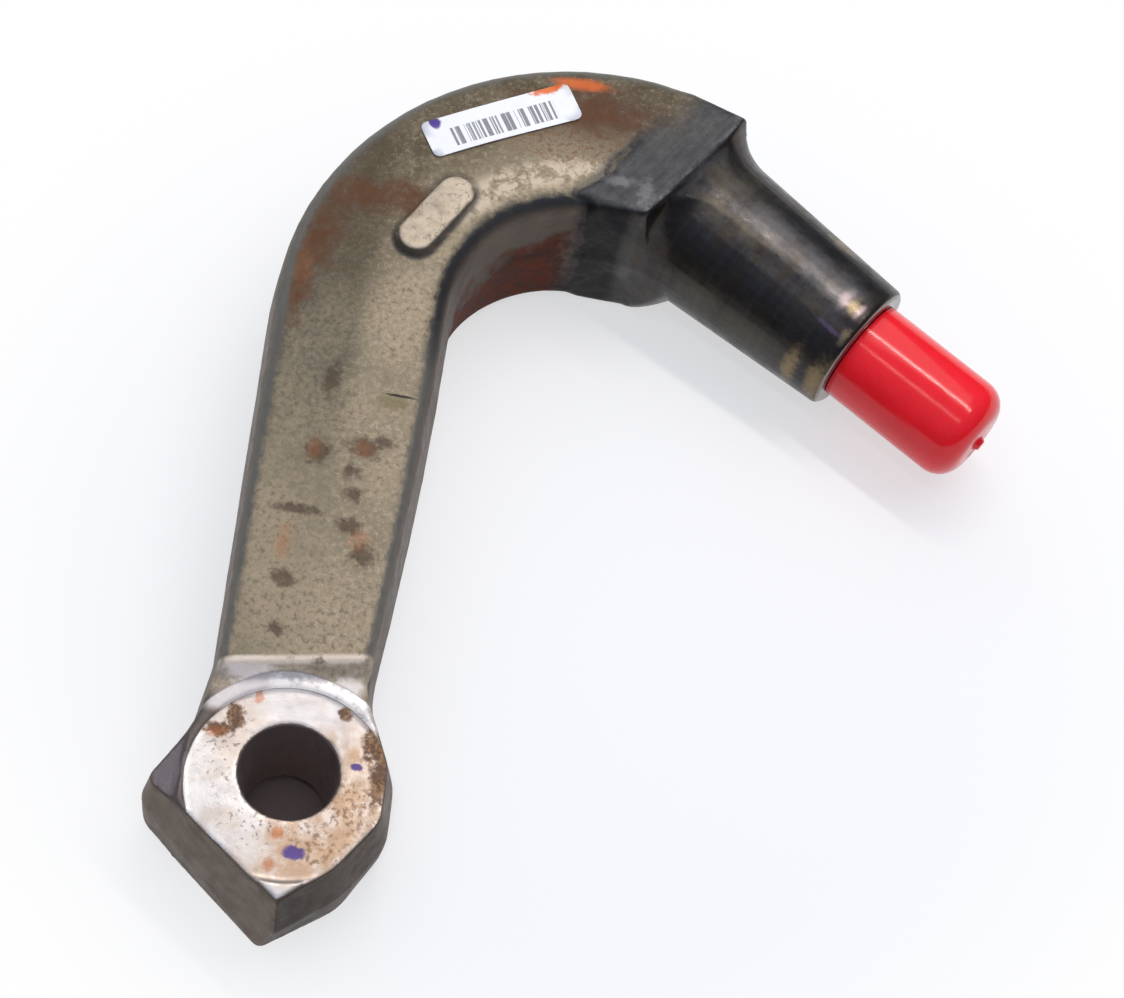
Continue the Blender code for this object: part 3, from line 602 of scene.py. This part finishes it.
# Painted highlights: glints laid on the facet and along its convex edges
painted_glints = [
    ((77.0, 229.5, 32.0), (8.0, 1.8, 5.0)),
    ((86.5, 226.0, 32.0), (2.4, 4.5, 5.0)),
]
facet = tint(tree, facet, stains(tree, place, painted_glints, 1.1, 3.0, 0.7), 0.45, FACET_PAINTED_GLINT)
facet = tint(tree, facet, times(tree, edge, fade(tree, mottle, 0.3, 0.8)), 0.6, FACET_PAINTED_GLINT)

# Shank: black scale with a turned finish under it, and the tempering colours near its end, with painted
# highlight patches along its top, a painted glint near its end and painted shade at its root
SHANK_SCALE = (0.021, 0.020, 0.023)
SHANK_BLOOM = (0.074, 0.070, 0.067)
SHANK_ROOT_SHADE = (0.010, 0.010, 0.011)
SHANK_OLIVE = (0.105, 0.096, 0.072)
SHANK_HIGHLIGHT = (0.16, 0.15, 0.145)
TEMPER_BROWN = (0.062, 0.041, 0.024)
TEMPER_TAN = (0.115, 0.100, 0.074)
TEMPER_GOLD_AND_GLINT = (0.38, 0.28, 0.15)
TEMPER_ROSE_GLINT = (0.56, 0.44, 0.44)
TEMPER_PURPLE = (0.22, 0.14, 0.25)
sockets = {"W": times(tree, shank_along, 0.35), "Scale": 1.0, "Detail": 4.0}
turning = put(tree, "ShaderNodeTexNoise", sockets, noise_dimensions="1D").outputs[0]
bloom = plus(tree, times(tree, cloud, 0.55), times(tree, fade(tree, turning, 0.25, 0.75), 0.35))
bloom = times(tree, bloom, plus(tree, 0.6, times(tree, speckle, 0.4)))
shank = mix_colour(tree, bloom, SHANK_SCALE, SHANK_BLOOM)
shank = tint(tree, shank, times(tree, patchy, fade(tree, turning, 0.7, 0.3)), 0.6, TEMPER_BROWN)
down_shank = put(tree, "ShaderNodeCombineXYZ", {0: shank_along, 1: shank_side, 2: z}).outputs[0]
shank_marks = [
    (TEMPER_TAN, 0.65, (0.6, 5.0, 0.9), [
        ((-69.0, 7.0, 27.5), (9.0, 6.5, 8.0)),
        ((-66.0, -8.0, 27.5), (8.0, 3.0, 7.0)),
        ((-53.5, -7.5, 26.5), (6.0, 2.4, 7.0)),
    ]),
    # Painted shade in the hollow at the shank's root
    (SHANK_ROOT_SHADE, 0.75, (0.3, 5.0, 0.8), [((-75.5, -8.0, 27.0), (4.5, 8.5, 9.0))]),
    (SHANK_OLIVE, 0.45, (0.6, 6.0, 1.0), [
        ((-54.0, -26.0, 7.0), (12.0, 7.0, 9.0)),
        ((-34.0, -25.0, 5.0), (14.0, 6.0, 8.0)),
    ]),
    # Painted highlight patches along the top of the shank
    (SHANK_HIGHLIGHT, 0.55, (0.8, 5.0, 1.0), [
        ((-45.0, 2.0, 26.0), (11.0, 5.0, 8.0)),
        ((-28.0, 2.0, 25.0), (9.0, 4.5, 8.0)),
        ((-15.0, 1.0, 24.0), (6.0, 6.0, 8.0)),
    ]),
    (TEMPER_GOLD_AND_GLINT, 0.48, (0.9, 2.6, 0.8), [
        ((-26.0, 17.0, 19.0), (5.0, 2.0, 8.0)),
        ((-13.5, -24.5, 3.0), (2.2, 5.0, 11.0)),
        ((-3.4, -23.6, 4.0), (2.6, 5.0, 12.0)),
        # This gold mark and the rose ones below are a painted glint near the shank's end, in temper
        # colours
        ((-7.2, -2.6, 24.5), (1.9, 3.2, 6.0)),
        ((-3.0, -12.5, 21.0), (1.2, 2.4, 5.0)),
    ]),
    # Painted glint in a rose temper colour near the shank's end
    (TEMPER_ROSE_GLINT, 0.42, (0.5, 2.4, 0.9), [
        ((-11.2, -1.6, 24.0), (1.7, 3.6, 6.0)),
        ((-4.6, -2.6, 24.0), (0.9, 2.8, 6.0)),
    ]),
    (TEMPER_PURPLE, 0.5, (0.8, 2.0, 0.8), [((-9.0, -13.2, 21.0), (4.5, 0.6, 6.0))]),
]
for colour, mark_share, rim, patches in shank_marks:
    shank = tint(tree, shank, stains(tree, down_shank, patches, *rim), mark_share, colour)
shank_start = plus(tree, shank_along, times(tree, fade(tree, upright, 0.9, 0.7), 6.0))
on_shank = fade(tree, shank_start, -80.0, -76.0)
scaled = mix_colour(tree, on_shank, facet, shank)
scaled = tint(tree, scaled, shaded_crease, 0.8, CREASE_SHADE)
side_scale = times(tree, fade(tree, upright, 0.9, 0.6), without(tree, on_shank))
side_colour = mix_colour(tree, patchy, SIDE_SCALE_DARK, SIDE_SCALE_PALE)
scaled = tint(tree, scaled, side_scale, 0.85, side_colour)
body = mix_colour(tree, union(tree, scale_share, shaded_crease), skin, scaled)

# Cut steel: the eye's faces with the wall round them, its bore, the shank's end and the stud
CUT_STEEL = (0.55, 0.525, 0.505)
CUT_FILM = (0.40, 0.275, 0.185)
CUT_WALL = (0.90, 0.845, 0.79)
CUT_WALL_WORN = (0.60, 0.55, 0.52)
CUT_WALL_LEFT = (0.50, 0.46, 0.455)
CUT_GREY = (0.42, 0.40, 0.405)
FACE_STEP_SHADE = (0.16, 0.14, 0.13)
BORE_STEEL = (0.46, 0.385, 0.35)
STUD_STEEL = (0.24, 0.225, 0.21)
height_share = times(tree, fade(tree, off_middle, 19.0, 19.2),
                     fade(tree, off_middle, 21.6, 21.2))
spot_disc = union(tree, fade(tree, spot_radius, 32.4, 32.0), fade(tree, y, -21.0, -24.0))
face = times(tree, height_share, spot_disc, fade(tree, upright, 0.80, 0.93),
             fade(tree, x, -33.2, -32.6))
cut_wall = times(tree, fade(tree, spot_radius, 32.0, 32.4), fade(tree, spot_radius, 37.4, 36.6),
                 fade(tree, y, 15.0, 19.0), fade(tree, upright, 0.5, 0.62),
                 fade(tree, off_middle, 18.8, 19.2))
bore = times(tree, fade(tree, bore_radius, 16.4, 16.1), fade(tree, upright, 0.75, 0.6))
end_face = times(tree, fade(tree, shank_along, -0.9, -0.5), fade(tree, shank_along, 1.2, 0.8),
                 near_end)
stud = times(tree, fade(tree, shank_along, 0.8, 1.2), near_end)
film = calculate(tree, "SUBTRACT", x, times(tree, y, 0.45))
film = times(tree, fade(tree, film, -8.0, 20.0), plus(tree, 0.45, times(tree, mottle, 0.5)))
film = calculate(tree, "ADD", film, times(tree, fade(tree, patchy, 0.35, 0.9), 0.35), clamp=True)
film = times(tree, film, fade(tree, y, -42.0, -31.0))
left_film = stain(tree, place, (-19.0, 12.0, 20.0), (10.0, 14.0, 5.0), 0.6, 7.0, 0.7)
film = union(tree, film, times(tree, left_film, 0.5))
face_colour = mix_colour(tree, film, CUT_STEEL, CUT_FILM)
grey_film = stain(tree, place, (3.0, 24.0, 20.0), (16.0, 8.0, 5.0), 0.5, 7.0, 0.8)
face_colour = tint(tree, face_colour, grey_film, 0.6, CUT_GREY)

# Rust and paint marks on the eye's face
FACE_RUST = (0.130, 0.052, 0.020)
FACE_RUST_PALE = (0.36, 0.20, 0.085)
MARKER_PURPLE = (0.10, 0.055, 0.30)
MARKER_ORANGE = (0.80, 0.17, 0.035)
rusty = stains(tree, place, [
    ((25.6, 13.0, 20.0), (3.8, 6.0, 5.0)),
    ((28.5, 3.0, 20.0), (3.0, 9.0, 5.0)),
    ((14.7, 22.2, 20.0), (2.3, 2.6, 5.0)),
    ((-19.4, 15.3, 20.0), (2.6, 3.8, 5.0)),
    ((-23.6, 10.6, 20.0), (4.2, 2.4, 5.0)),
], 1.0, 2.6, 0.35)
scattered = stains(tree, place, [
    ((20.0, -9.0, 20.0), (9.0, 9.0, 5.0)),
    ((12.0, -22.0, 20.0), (9.0, 7.0, 5.0)),
], 0.6, 5.0, 0.5)
rusty = union(tree, rusty, times(tree, scattered, fade(tree, speckle, 0.50, 0.95), 0.75))
freckled = stains(tree, place, [
    ((-19.0, 4.0, 20.0), (9.0, 12.0, 5.0)),
    ((-8.0, -18.0, 20.0), (10.0, 8.0, 5.0)),
], 0.6, 5.0, 0.6)
freckles = times(tree, freckled, fade(tree, speckle, 0.24, 0.10))
rusty = union(tree, rusty, times(tree, freckles, 0.55))
rust_tone = plus(tree, times(tree, speckle, 0.6), times(tree, mottle, 0.4))
rust_colour = mix_colour(tree, fade(tree, rust_tone, 0.35, 0.8), FACE_RUST, FACE_RUST_PALE)
face_colour = tint(tree, face_colour, rusty, 0.9, rust_colour)
orange = stains(tree, place, [
    ((-24.4, 9.6, 20.0), (2.8, 1.6, 5.0)),
    ((-0.2, -20.1, 20.0), (1.7, 1.9, 5.0)),
    ((-13.4, 23.3, 20.0), (1.6, 2.4, 5.0)),
    ((-1.2, -30.5, 20.0), (1.6, 2.0, 5.0)),
], 0.9, 2.0, 0.5)
face_colour = tint(tree, face_colour, orange, 0.65, RUST_ORANGE)
marker = stains(tree, place, [
    ((6.0, -26.0, 20.0), (3.4, 2.2, 5.0)),
    ((20.5, 5.2, 20.0), (1.9, 1.2, 5.0)),
], 0.4, 2.0, 0.25)
face_colour = tint(tree, face_colour, marker, 0.85, MARKER_PURPLE)
# Painted shade: a dark line along the spot face's step, near the tip
step_shade = times(tree, fade(tree, spot_radius, 31.5, 31.9), fade(tree, spot_radius, 33.2, 32.6),
             fade(tree, y, -14.0, -26.0), face)
face_colour = tint(tree, face_colour, step_shade, 0.5, FACE_STEP_SHADE)
wall_steel = tint(tree, CUT_WALL, fade(tree, x, -6.0, -18.0), 0.9, CUT_WALL_LEFT)
wall_steel = mix_colour(tree, fade(tree, mottle, 0.35, 0.9), wall_steel, CUT_WALL_WORN)
cut_colour = mix_colour(tree, cut_wall, face_colour, wall_steel)
cut_colour = mix_colour(tree, bore, cut_colour, BORE_STEEL)
cut_colour = mix_colour(tree, union(tree, stud, end_face), cut_colour, STUD_STEEL)
cut_share = union(tree, face, cut_wall, bore, end_face, stud)
smear = stain(tree, place, (60.0, 266.8, 29.0), (9.5, 2.4, 9.0), 0.4, 5.0, 0.5)
body = tint(tree, body, smear, 0.75, MARKER_ORANGE)
tree.links.new(mix_colour(tree, cut_share, body, cut_colour), shader.inputs["Base Color"])

# How metallic, rough and uneven each of them is
face_marks = times(tree, face, union(tree, rusty, marker))
dull = union(tree, broad_rust, times(tree, inner_rust, walls_and_edge_shade), spot_mask, smear, face_marks)
neck_alone = times(tree, at_neck, without(tree, cut_share))
metal = plus(tree, 0.45, times(tree, union(tree, cut_share, scale_share), 0.40))
metal = times(tree, metal, without(tree, cut_wall, 0.55), without(tree, neck_alone, 0.7))
tree.links.new(times(tree, metal, without(tree, dull, 0.85)), shader.inputs["Metallic"])
polished = times(tree, scale_share, on_shank)
rough = plus(tree, 0.46, times(tree, mottle, 0.14), times(tree, cut_share, -0.12),
             times(tree, polished, -0.20))
rough = calculate(tree, "ADD", rough, times(tree, dull, 0.25), clamp=True)
tree.links.new(rough, shader.inputs["Roughness"])
sockets = {"W": times(tree, spot_radius, 2.2), "Scale": 1.0, "Detail": 2.0}
facing_marks = put(tree, "ShaderNodeTexNoise", sockets, noise_dimensions="1D").outputs[0]
height = plus(tree, times(tree, uneven, 0.6), times(tree, fine_uneven, 0.5))
height = times(tree, height, without(tree, cut_share, 0.85), without(tree, polished, 0.92))
height = plus(
    tree,
    height,
    times(tree, facing_marks, face, 0.05),
    times(tree, turning, polished, 0.06),
    times(tree, brush, scale_share, without(tree, on_shank), 0.02),
    times(tree, union(tree, nick, times(tree, shaded_crease, 0.8)), -1.0),
    times(tree, spot_mask, -0.25),
)
bump = put(tree, "ShaderNodeBump", {"Height": height, "Distance": 0.5 * MM, "Strength": 0.75})
tree.links.new(bump.outputs[0], shader.inputs["Normal"])

apply_tree(forging, relief, {"Steel": steel})
thin = forging.modifiers.new("fewer_faces", "DECIMATE")
thin.ratio = SKIN_KEPT
flatten(forging)
forging.data.shade_smooth()
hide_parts("steering_arm")
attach(forging, "arm")


# The stud's thread
# It takes the nut that draws the shank into the knuckle. It is a ridge wound round the stud's
# core, and shows only while the cap is off.

THREAD_CREST = 17.3 * MM
THREAD_RIDGE = 0.62 * MM
THREAD_PITCH = 2.12 * MM
THREAD_START = 6.2 * MM
THREAD_TURNS = 15.5

winding, given, result = start_tree(
    "stud_thread",
    "GeometryNodeTree",
    [
        ("Core", "NodeSocketGeometry", None),
        ("Crest Radius", "NodeSocketFloat", THREAD_CREST),
        ("Ridge", "NodeSocketFloat", THREAD_RIDGE),
        ("Pitch", "NodeSocketFloat", THREAD_PITCH),
        ("Turns", "NodeSocketFloat", THREAD_TURNS),
        ("Steel", "NodeSocketMaterial", None),
    ],
    [("Thread", "NodeSocketGeometry", None)],
)
middle = calculate(winding, "SUBTRACT", given.outputs["Crest Radius"], given.outputs["Ridge"])
spiral = put(
    winding,
    "GeometryNodeCurveSpiral",
    {
        "Resolution": 40,
        "Rotations": given.outputs["Turns"],
        "Start Radius": middle,
        "End Radius": middle,
        "Height": calculate(winding, "MULTIPLY", given.outputs["Turns"], given.outputs["Pitch"]),
    },
)
level = put(winding, "GeometryNodeSetCurveNormal", {"Curve": spiral.outputs[0]}, mode="Z_UP")
sockets = {"Resolution": 4, "Radius": given.outputs["Ridge"]}
ridge = put(winding, "GeometryNodeCurvePrimitiveCircle", sockets)
wound = put(
    winding,
    "GeometryNodeCurveToMesh",
    {"Curve": level.outputs[0], "Profile Curve": ridge.outputs[0], "Fill Caps": True},
)
solid = put(winding, "GeometryNodeRealizeInstances", {"Geometry": wound.outputs[0]})
finished = put(
    winding,
    "GeometryNodeSetMaterial",
    {"Geometry": solid.outputs[0], "Material": given.outputs["Steel"]},
)
winding.links.new(finished.outputs[0], result.inputs["Thread"])

thread = bpy.data.objects.new("stud_thread", bpy.data.meshes.new("stud_thread"))
bpy.context.scene.collection.objects.link(thread)
apply_tree(thread, winding, {"Steel": steel})
along_shank = Matrix.Rotation(SHANK_TURN, 4, "Z") @ Matrix.Rotation(math.pi / 2.0, 4, "Y")
start_of_thread = Matrix.Translation((0.0, 0.0, THREAD_START))
thread.data.transform(rest @ Matrix.Translation(SHANK_END * MM) @ along_shank @ start_of_thread)
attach(thread, "arm")


# The thread cap
# Dip-moulded vinyl, pulled off its pin while warm: glossy, a little wavy, with a rounded rim and
# a drip at its closed end. It is pushed over the stud to guard the thread.

CAP_RED = (0.95, 0.010, 0.020)
CAP_DEEP = (0.74, 0.006, 0.012)
CAP_DUST = (0.45, 0.16, 0.13)
CAP_SMUDGE = (0.06, 0.012, 0.010)
CAP_RIM_WIDTH = 0.45 * MM

vinyl = bpy.data.materials.new("red_vinyl")
vinyl.use_nodes = True
tree = vinyl.node_tree
shader = tree.nodes["Principled BSDF"]
place = place_in_forging(tree)
cloud, wave, dust, uneven = grain(tree, place, 16.0, 7.0, 1.0)
colour = tint(tree, CAP_RED, cloud, 0.35, CAP_DEEP)
colour = tint(tree, colour, fade(tree, dust, 0.6, 0.95), 0.07, CAP_DUST)
smudge = stains(tree, place, [
    ((189.0, 171.0, 6.0), (3.0, 2.0, 4.0)),
    ((199.0, 163.0, 0.0), (2.4, 2.4, 4.0)),
    ((217.0, 167.0, -6.0), (3.0, 3.0, 3.0)),
], 1.0, 2.0, 0.4)
colour = tint(tree, colour, smudge, 0.55, CAP_SMUDGE)
tree.links.new(colour, shader.inputs["Base Color"])
gloss = plus(tree, 0.13, times(tree, wave, 0.07), times(tree, smudge, 0.3))
tree.links.new(gloss, shader.inputs["Roughness"])
shader.inputs["Specular IOR Level"].default_value = 0.42
bump = put(tree, "ShaderNodeBump", {"Height": uneven, "Distance": 0.5 * MM, "Strength": 0.10})
tree.links.new(bump.outputs[0], shader.inputs["Normal"])

cap = copy_node("thread_cap", "vinyl_cap")
cap.data.materials.append(vinyl)
rim = cap.modifiers.new("rounded_rim", "BEVEL")
rim.width = CAP_RIM_WIDTH
rim.segments = 3
rim.limit_method = "ANGLE"
rim.angle_limit = math.radians(50.0)
flatten(cap)
cap.data.shade_smooth()
cap.data.set_sharp_from_angle(angle=math.radians(40.0))
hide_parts("thread_cap")
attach(cap, "cap")


# The label
# A strip of coated paper, stuck along the bend, printed with a generic row of bars and crossed
# by two paint-marker dabs.

LABEL_CENTRE = (33.8, 246.2, 31.0)
LABEL_TURN = math.radians(28.5)
PAPER_WHITE = (0.93, 0.935, 0.95)
PAPER_SHADE = (0.86, 0.85, 0.83)
INK = (0.085, 0.085, 0.09)
INK_THIN = (0.26, 0.26, 0.27)
BAR_PITCH = 1.7
BARS_HALF_LENGTH = 19.5
BARS_HALF_HEIGHT = 4.0
BARS_BELOW_MIDDLE = 1.6

paper = bpy.data.materials.new("label_paper")
paper.use_nodes = True
tree = paper.node_tree
shader = tree.nodes["Principled BSDF"]
place = place_in_forging(tree)
sockets = {"Vector": place, "Location": LABEL_CENTRE, "Rotation": (0.0, 0.0, LABEL_TURN)}
on_label = put(tree, "ShaderNodeMapping", sockets, vector_type="TEXTURE").outputs[0]
u, v, _ = put(tree, "ShaderNodeSeparateXYZ", {0: on_label}).outputs
sockets = {"W": times(tree, u, 1.0 / BAR_PITCH), "Scale": 1.0, "Detail": 2.0}
print_row = put(tree, "ShaderNodeTexNoise", sockets, noise_dimensions="1D").outputs[0]
bars = fade(tree, print_row, 0.48, 0.51)
off_row = calculate(tree, "ABSOLUTE", plus(tree, v, BARS_BELOW_MIDDLE))
in_length = fade(tree, calculate(tree, "ABSOLUTE", u), BARS_HALF_LENGTH + 0.1, BARS_HALF_LENGTH - 0.1)
in_height = fade(tree, off_row, BARS_HALF_HEIGHT + 0.1, BARS_HALF_HEIGHT - 0.1)
bars = times(tree, bars, in_length, in_height)
cloud, fibre, dust, uneven = grain(tree, place, 12.0, 1.5, 0.3)
colour = tint(tree, PAPER_WHITE, cloud, 0.4, PAPER_SHADE)
ink = mix_colour(tree, dust, INK, INK_THIN)
colour = tint(tree, colour, bars, 0.9, ink)
orange_dab = stain(tree, on_label, (20.0, 8.0, 0.0), (6.0, 2.6, 6.0), 0.5, 3.0, 0.25)
colour = mix_colour(tree, orange_dab, colour, MARKER_ORANGE)
purple_dab = stain(tree, on_label, (-22.5, 6.6, 0.0), (2.0, 2.8, 6.0), 0.3, 3.0, 0.2)
colour = mix_colour(tree, purple_dab, colour, MARKER_PURPLE)
tree.links.new(colour, shader.inputs["Base Color"])
tree.links.new(plus(tree, 0.42, times(tree, fibre, 0.15)), shader.inputs["Roughness"])
bump = put(tree, "ShaderNodeBump", {"Height": uneven, "Distance": 0.05 * MM, "Strength": 0.5})
tree.links.new(bump.outputs[0], shader.inputs["Normal"])

label = copy_node("label", "paper_label")
label.data.materials.append(paper)
label.data.shade_smooth()
label.data.set_sharp_from_angle(angle=math.radians(40.0))
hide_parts("label")
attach(label, "arm")


# The bench
# A plain white sheet under the part, with a painted shadow under the eye's bore. It keeps the part's
# shadow, and away from the part the camera and shiny steel see it as even white.

BENCH_WHITE = (0.93, 0.93, 0.94)
BENCH_PAINTED_SHADOW = (0.20, 0.16, 0.155)
SEEN_WHITE = (1.0, 1.0, 1.0, 1.0)
BORE_SPOT = (-0.0886, -0.1080, 0.0)
BENCH_HALF = 6.0

bm = bmesh.new()
bmesh.ops.create_grid(bm, x_segments=1, y_segments=1, size=BENCH_HALF)
bench_mesh = bpy.data.meshes.new("bench")
bm.to_mesh(bench_mesh)
bm.free()
bench = bpy.data.objects.new("bench", bench_mesh)
bpy.context.scene.collection.objects.link(bench)
white = bpy.data.materials.new("bench_white")
white.use_nodes = True
tree = white.node_tree
tree.nodes.clear()
glow = put(tree, "ShaderNodeEmission", {"Color": SEEN_WHITE, "Strength": 1.0})
rays = put(tree, "ShaderNodeLightPath")
seen = calculate(tree, "ADD", rays.outputs["Is Camera Ray"], rays.outputs["Is Glossy Ray"], clamp=True)
bench_place = put(tree, "ShaderNodeTexCoord").outputs["Object"]
far_off = fade(tree, measure(tree, "LENGTH", bench_place), 0.13, 0.26)
# Painted shadow: the bench turns dark under the eye's bore and loses its glow there
under_eye = fade(tree, measure(tree, "DISTANCE", bench_place, BORE_SPOT), 0.038, 0.022)
shadowed_bench = mix_colour(tree, under_eye, BENCH_WHITE, BENCH_PAINTED_SHADOW)
diffuse = put(tree, "ShaderNodeBsdfDiffuse", {"Color": shadowed_bench})
glow_share = plus(tree, 0.60, times(tree, far_off, 0.40))
seen = times(tree, seen, glow_share, without(tree, under_eye))
blend = put(tree, "ShaderNodeMixShader", {0: seen, 1: diffuse.outputs[0], 2: glow.outputs[0]})
put(tree, "ShaderNodeOutputMaterial", {"Surface": blend.outputs[0]})
bench_mesh.materials.append(white)


# Light and camera
# Two long ceiling lamps, whose reflections run along the cap, a wide soft lamp behind the part,
# and a dim, slightly blue room that is darker towards the horizon.

LAMP_WARM = (1.0, 0.955, 0.895)
LAMP_NEUTRAL = (1.0, 0.96, 0.91)
ROOM_LOW = (0.10, 0.11, 0.14)
ROOM_HIGH = (0.37, 0.44, 0.60)
BACKDROP = (0.93, 0.93, 0.94)


def add_lamp(name, place, aim, size, power, colour):
    """Rectangular lamp that shines from a place towards another."""
    data = bpy.data.lights.new(name, "AREA")
    data.shape = "RECTANGLE"
    data.size, data.size_y = size
    data.energy = power
    data.color = colour
    lamp = bpy.data.objects.new(name, data)
    bpy.context.scene.collection.objects.link(lamp)
    towards = (Vector(aim) - Vector(place)).normalized()
    turn = towards.to_track_quat("-Z", "Y").to_matrix().to_4x4()
    lamp.matrix_world = Matrix.Translation(place) @ turn
    return lamp


def add_tube(name, place, size, power, colour):
    """Lamp that hangs level over the bench, in line with the shank."""
    lamp = add_lamp(name, place, Vector(place) - Vector((0.0, 0.0, 1.0)), size, power, colour)
    lamp.matrix_world = Matrix.Translation(place) @ Matrix.Rotation(SHANK_TURN, 4, "Z")


add_tube("rear_tube", (0.29, 0.31, 1.23), (1.2, 0.07), 6.9, LAMP_WARM)
add_tube("front_tube", (-0.13, -0.33, 1.23), (1.2, 0.05), 1.7, LAMP_NEUTRAL)
add_lamp("soft_lamp", (-0.15, 0.85, 1.05), (0.0, 0.05, 0.0), (1.5, 1.3), 7.0, LAMP_WARM)

world = bpy.data.worlds.new("room")
bpy.context.scene.world = world
world.use_nodes = True
tree = world.node_tree
background = tree.nodes["Background"]
direction = put(tree, "ShaderNodeTexCoord").outputs["Generated"]
up = put(tree, "ShaderNodeSeparateXYZ", {0: direction}).outputs[2]
room = mix_colour(tree, fade(tree, up, 0.05, 0.9), ROOM_LOW, ROOM_HIGH)
backdrop = put(tree, "ShaderNodeLightPath").outputs["Is Camera Ray"]
tree.links.new(mix_colour(tree, backdrop, room, BACKDROP), background.inputs["Color"])

camera_data = bpy.data.cameras.new("camera")
camera_data.sensor_width = 36.0
camera_data.lens = 94.16
camera_data.clip_start = 0.05
camera_data.clip_end = 20.0
camera = bpy.data.objects.new("camera", camera_data)
bpy.context.scene.collection.objects.link(camera)
camera.location = (-0.06109, -0.49062, 0.88847)
camera.rotation_euler = [math.radians(angle) for angle in (29.275, -6.88, 6.651)]
bpy.context.scene.camera = camera
bpy.context.scene.view_settings.view_transform = "Standard"
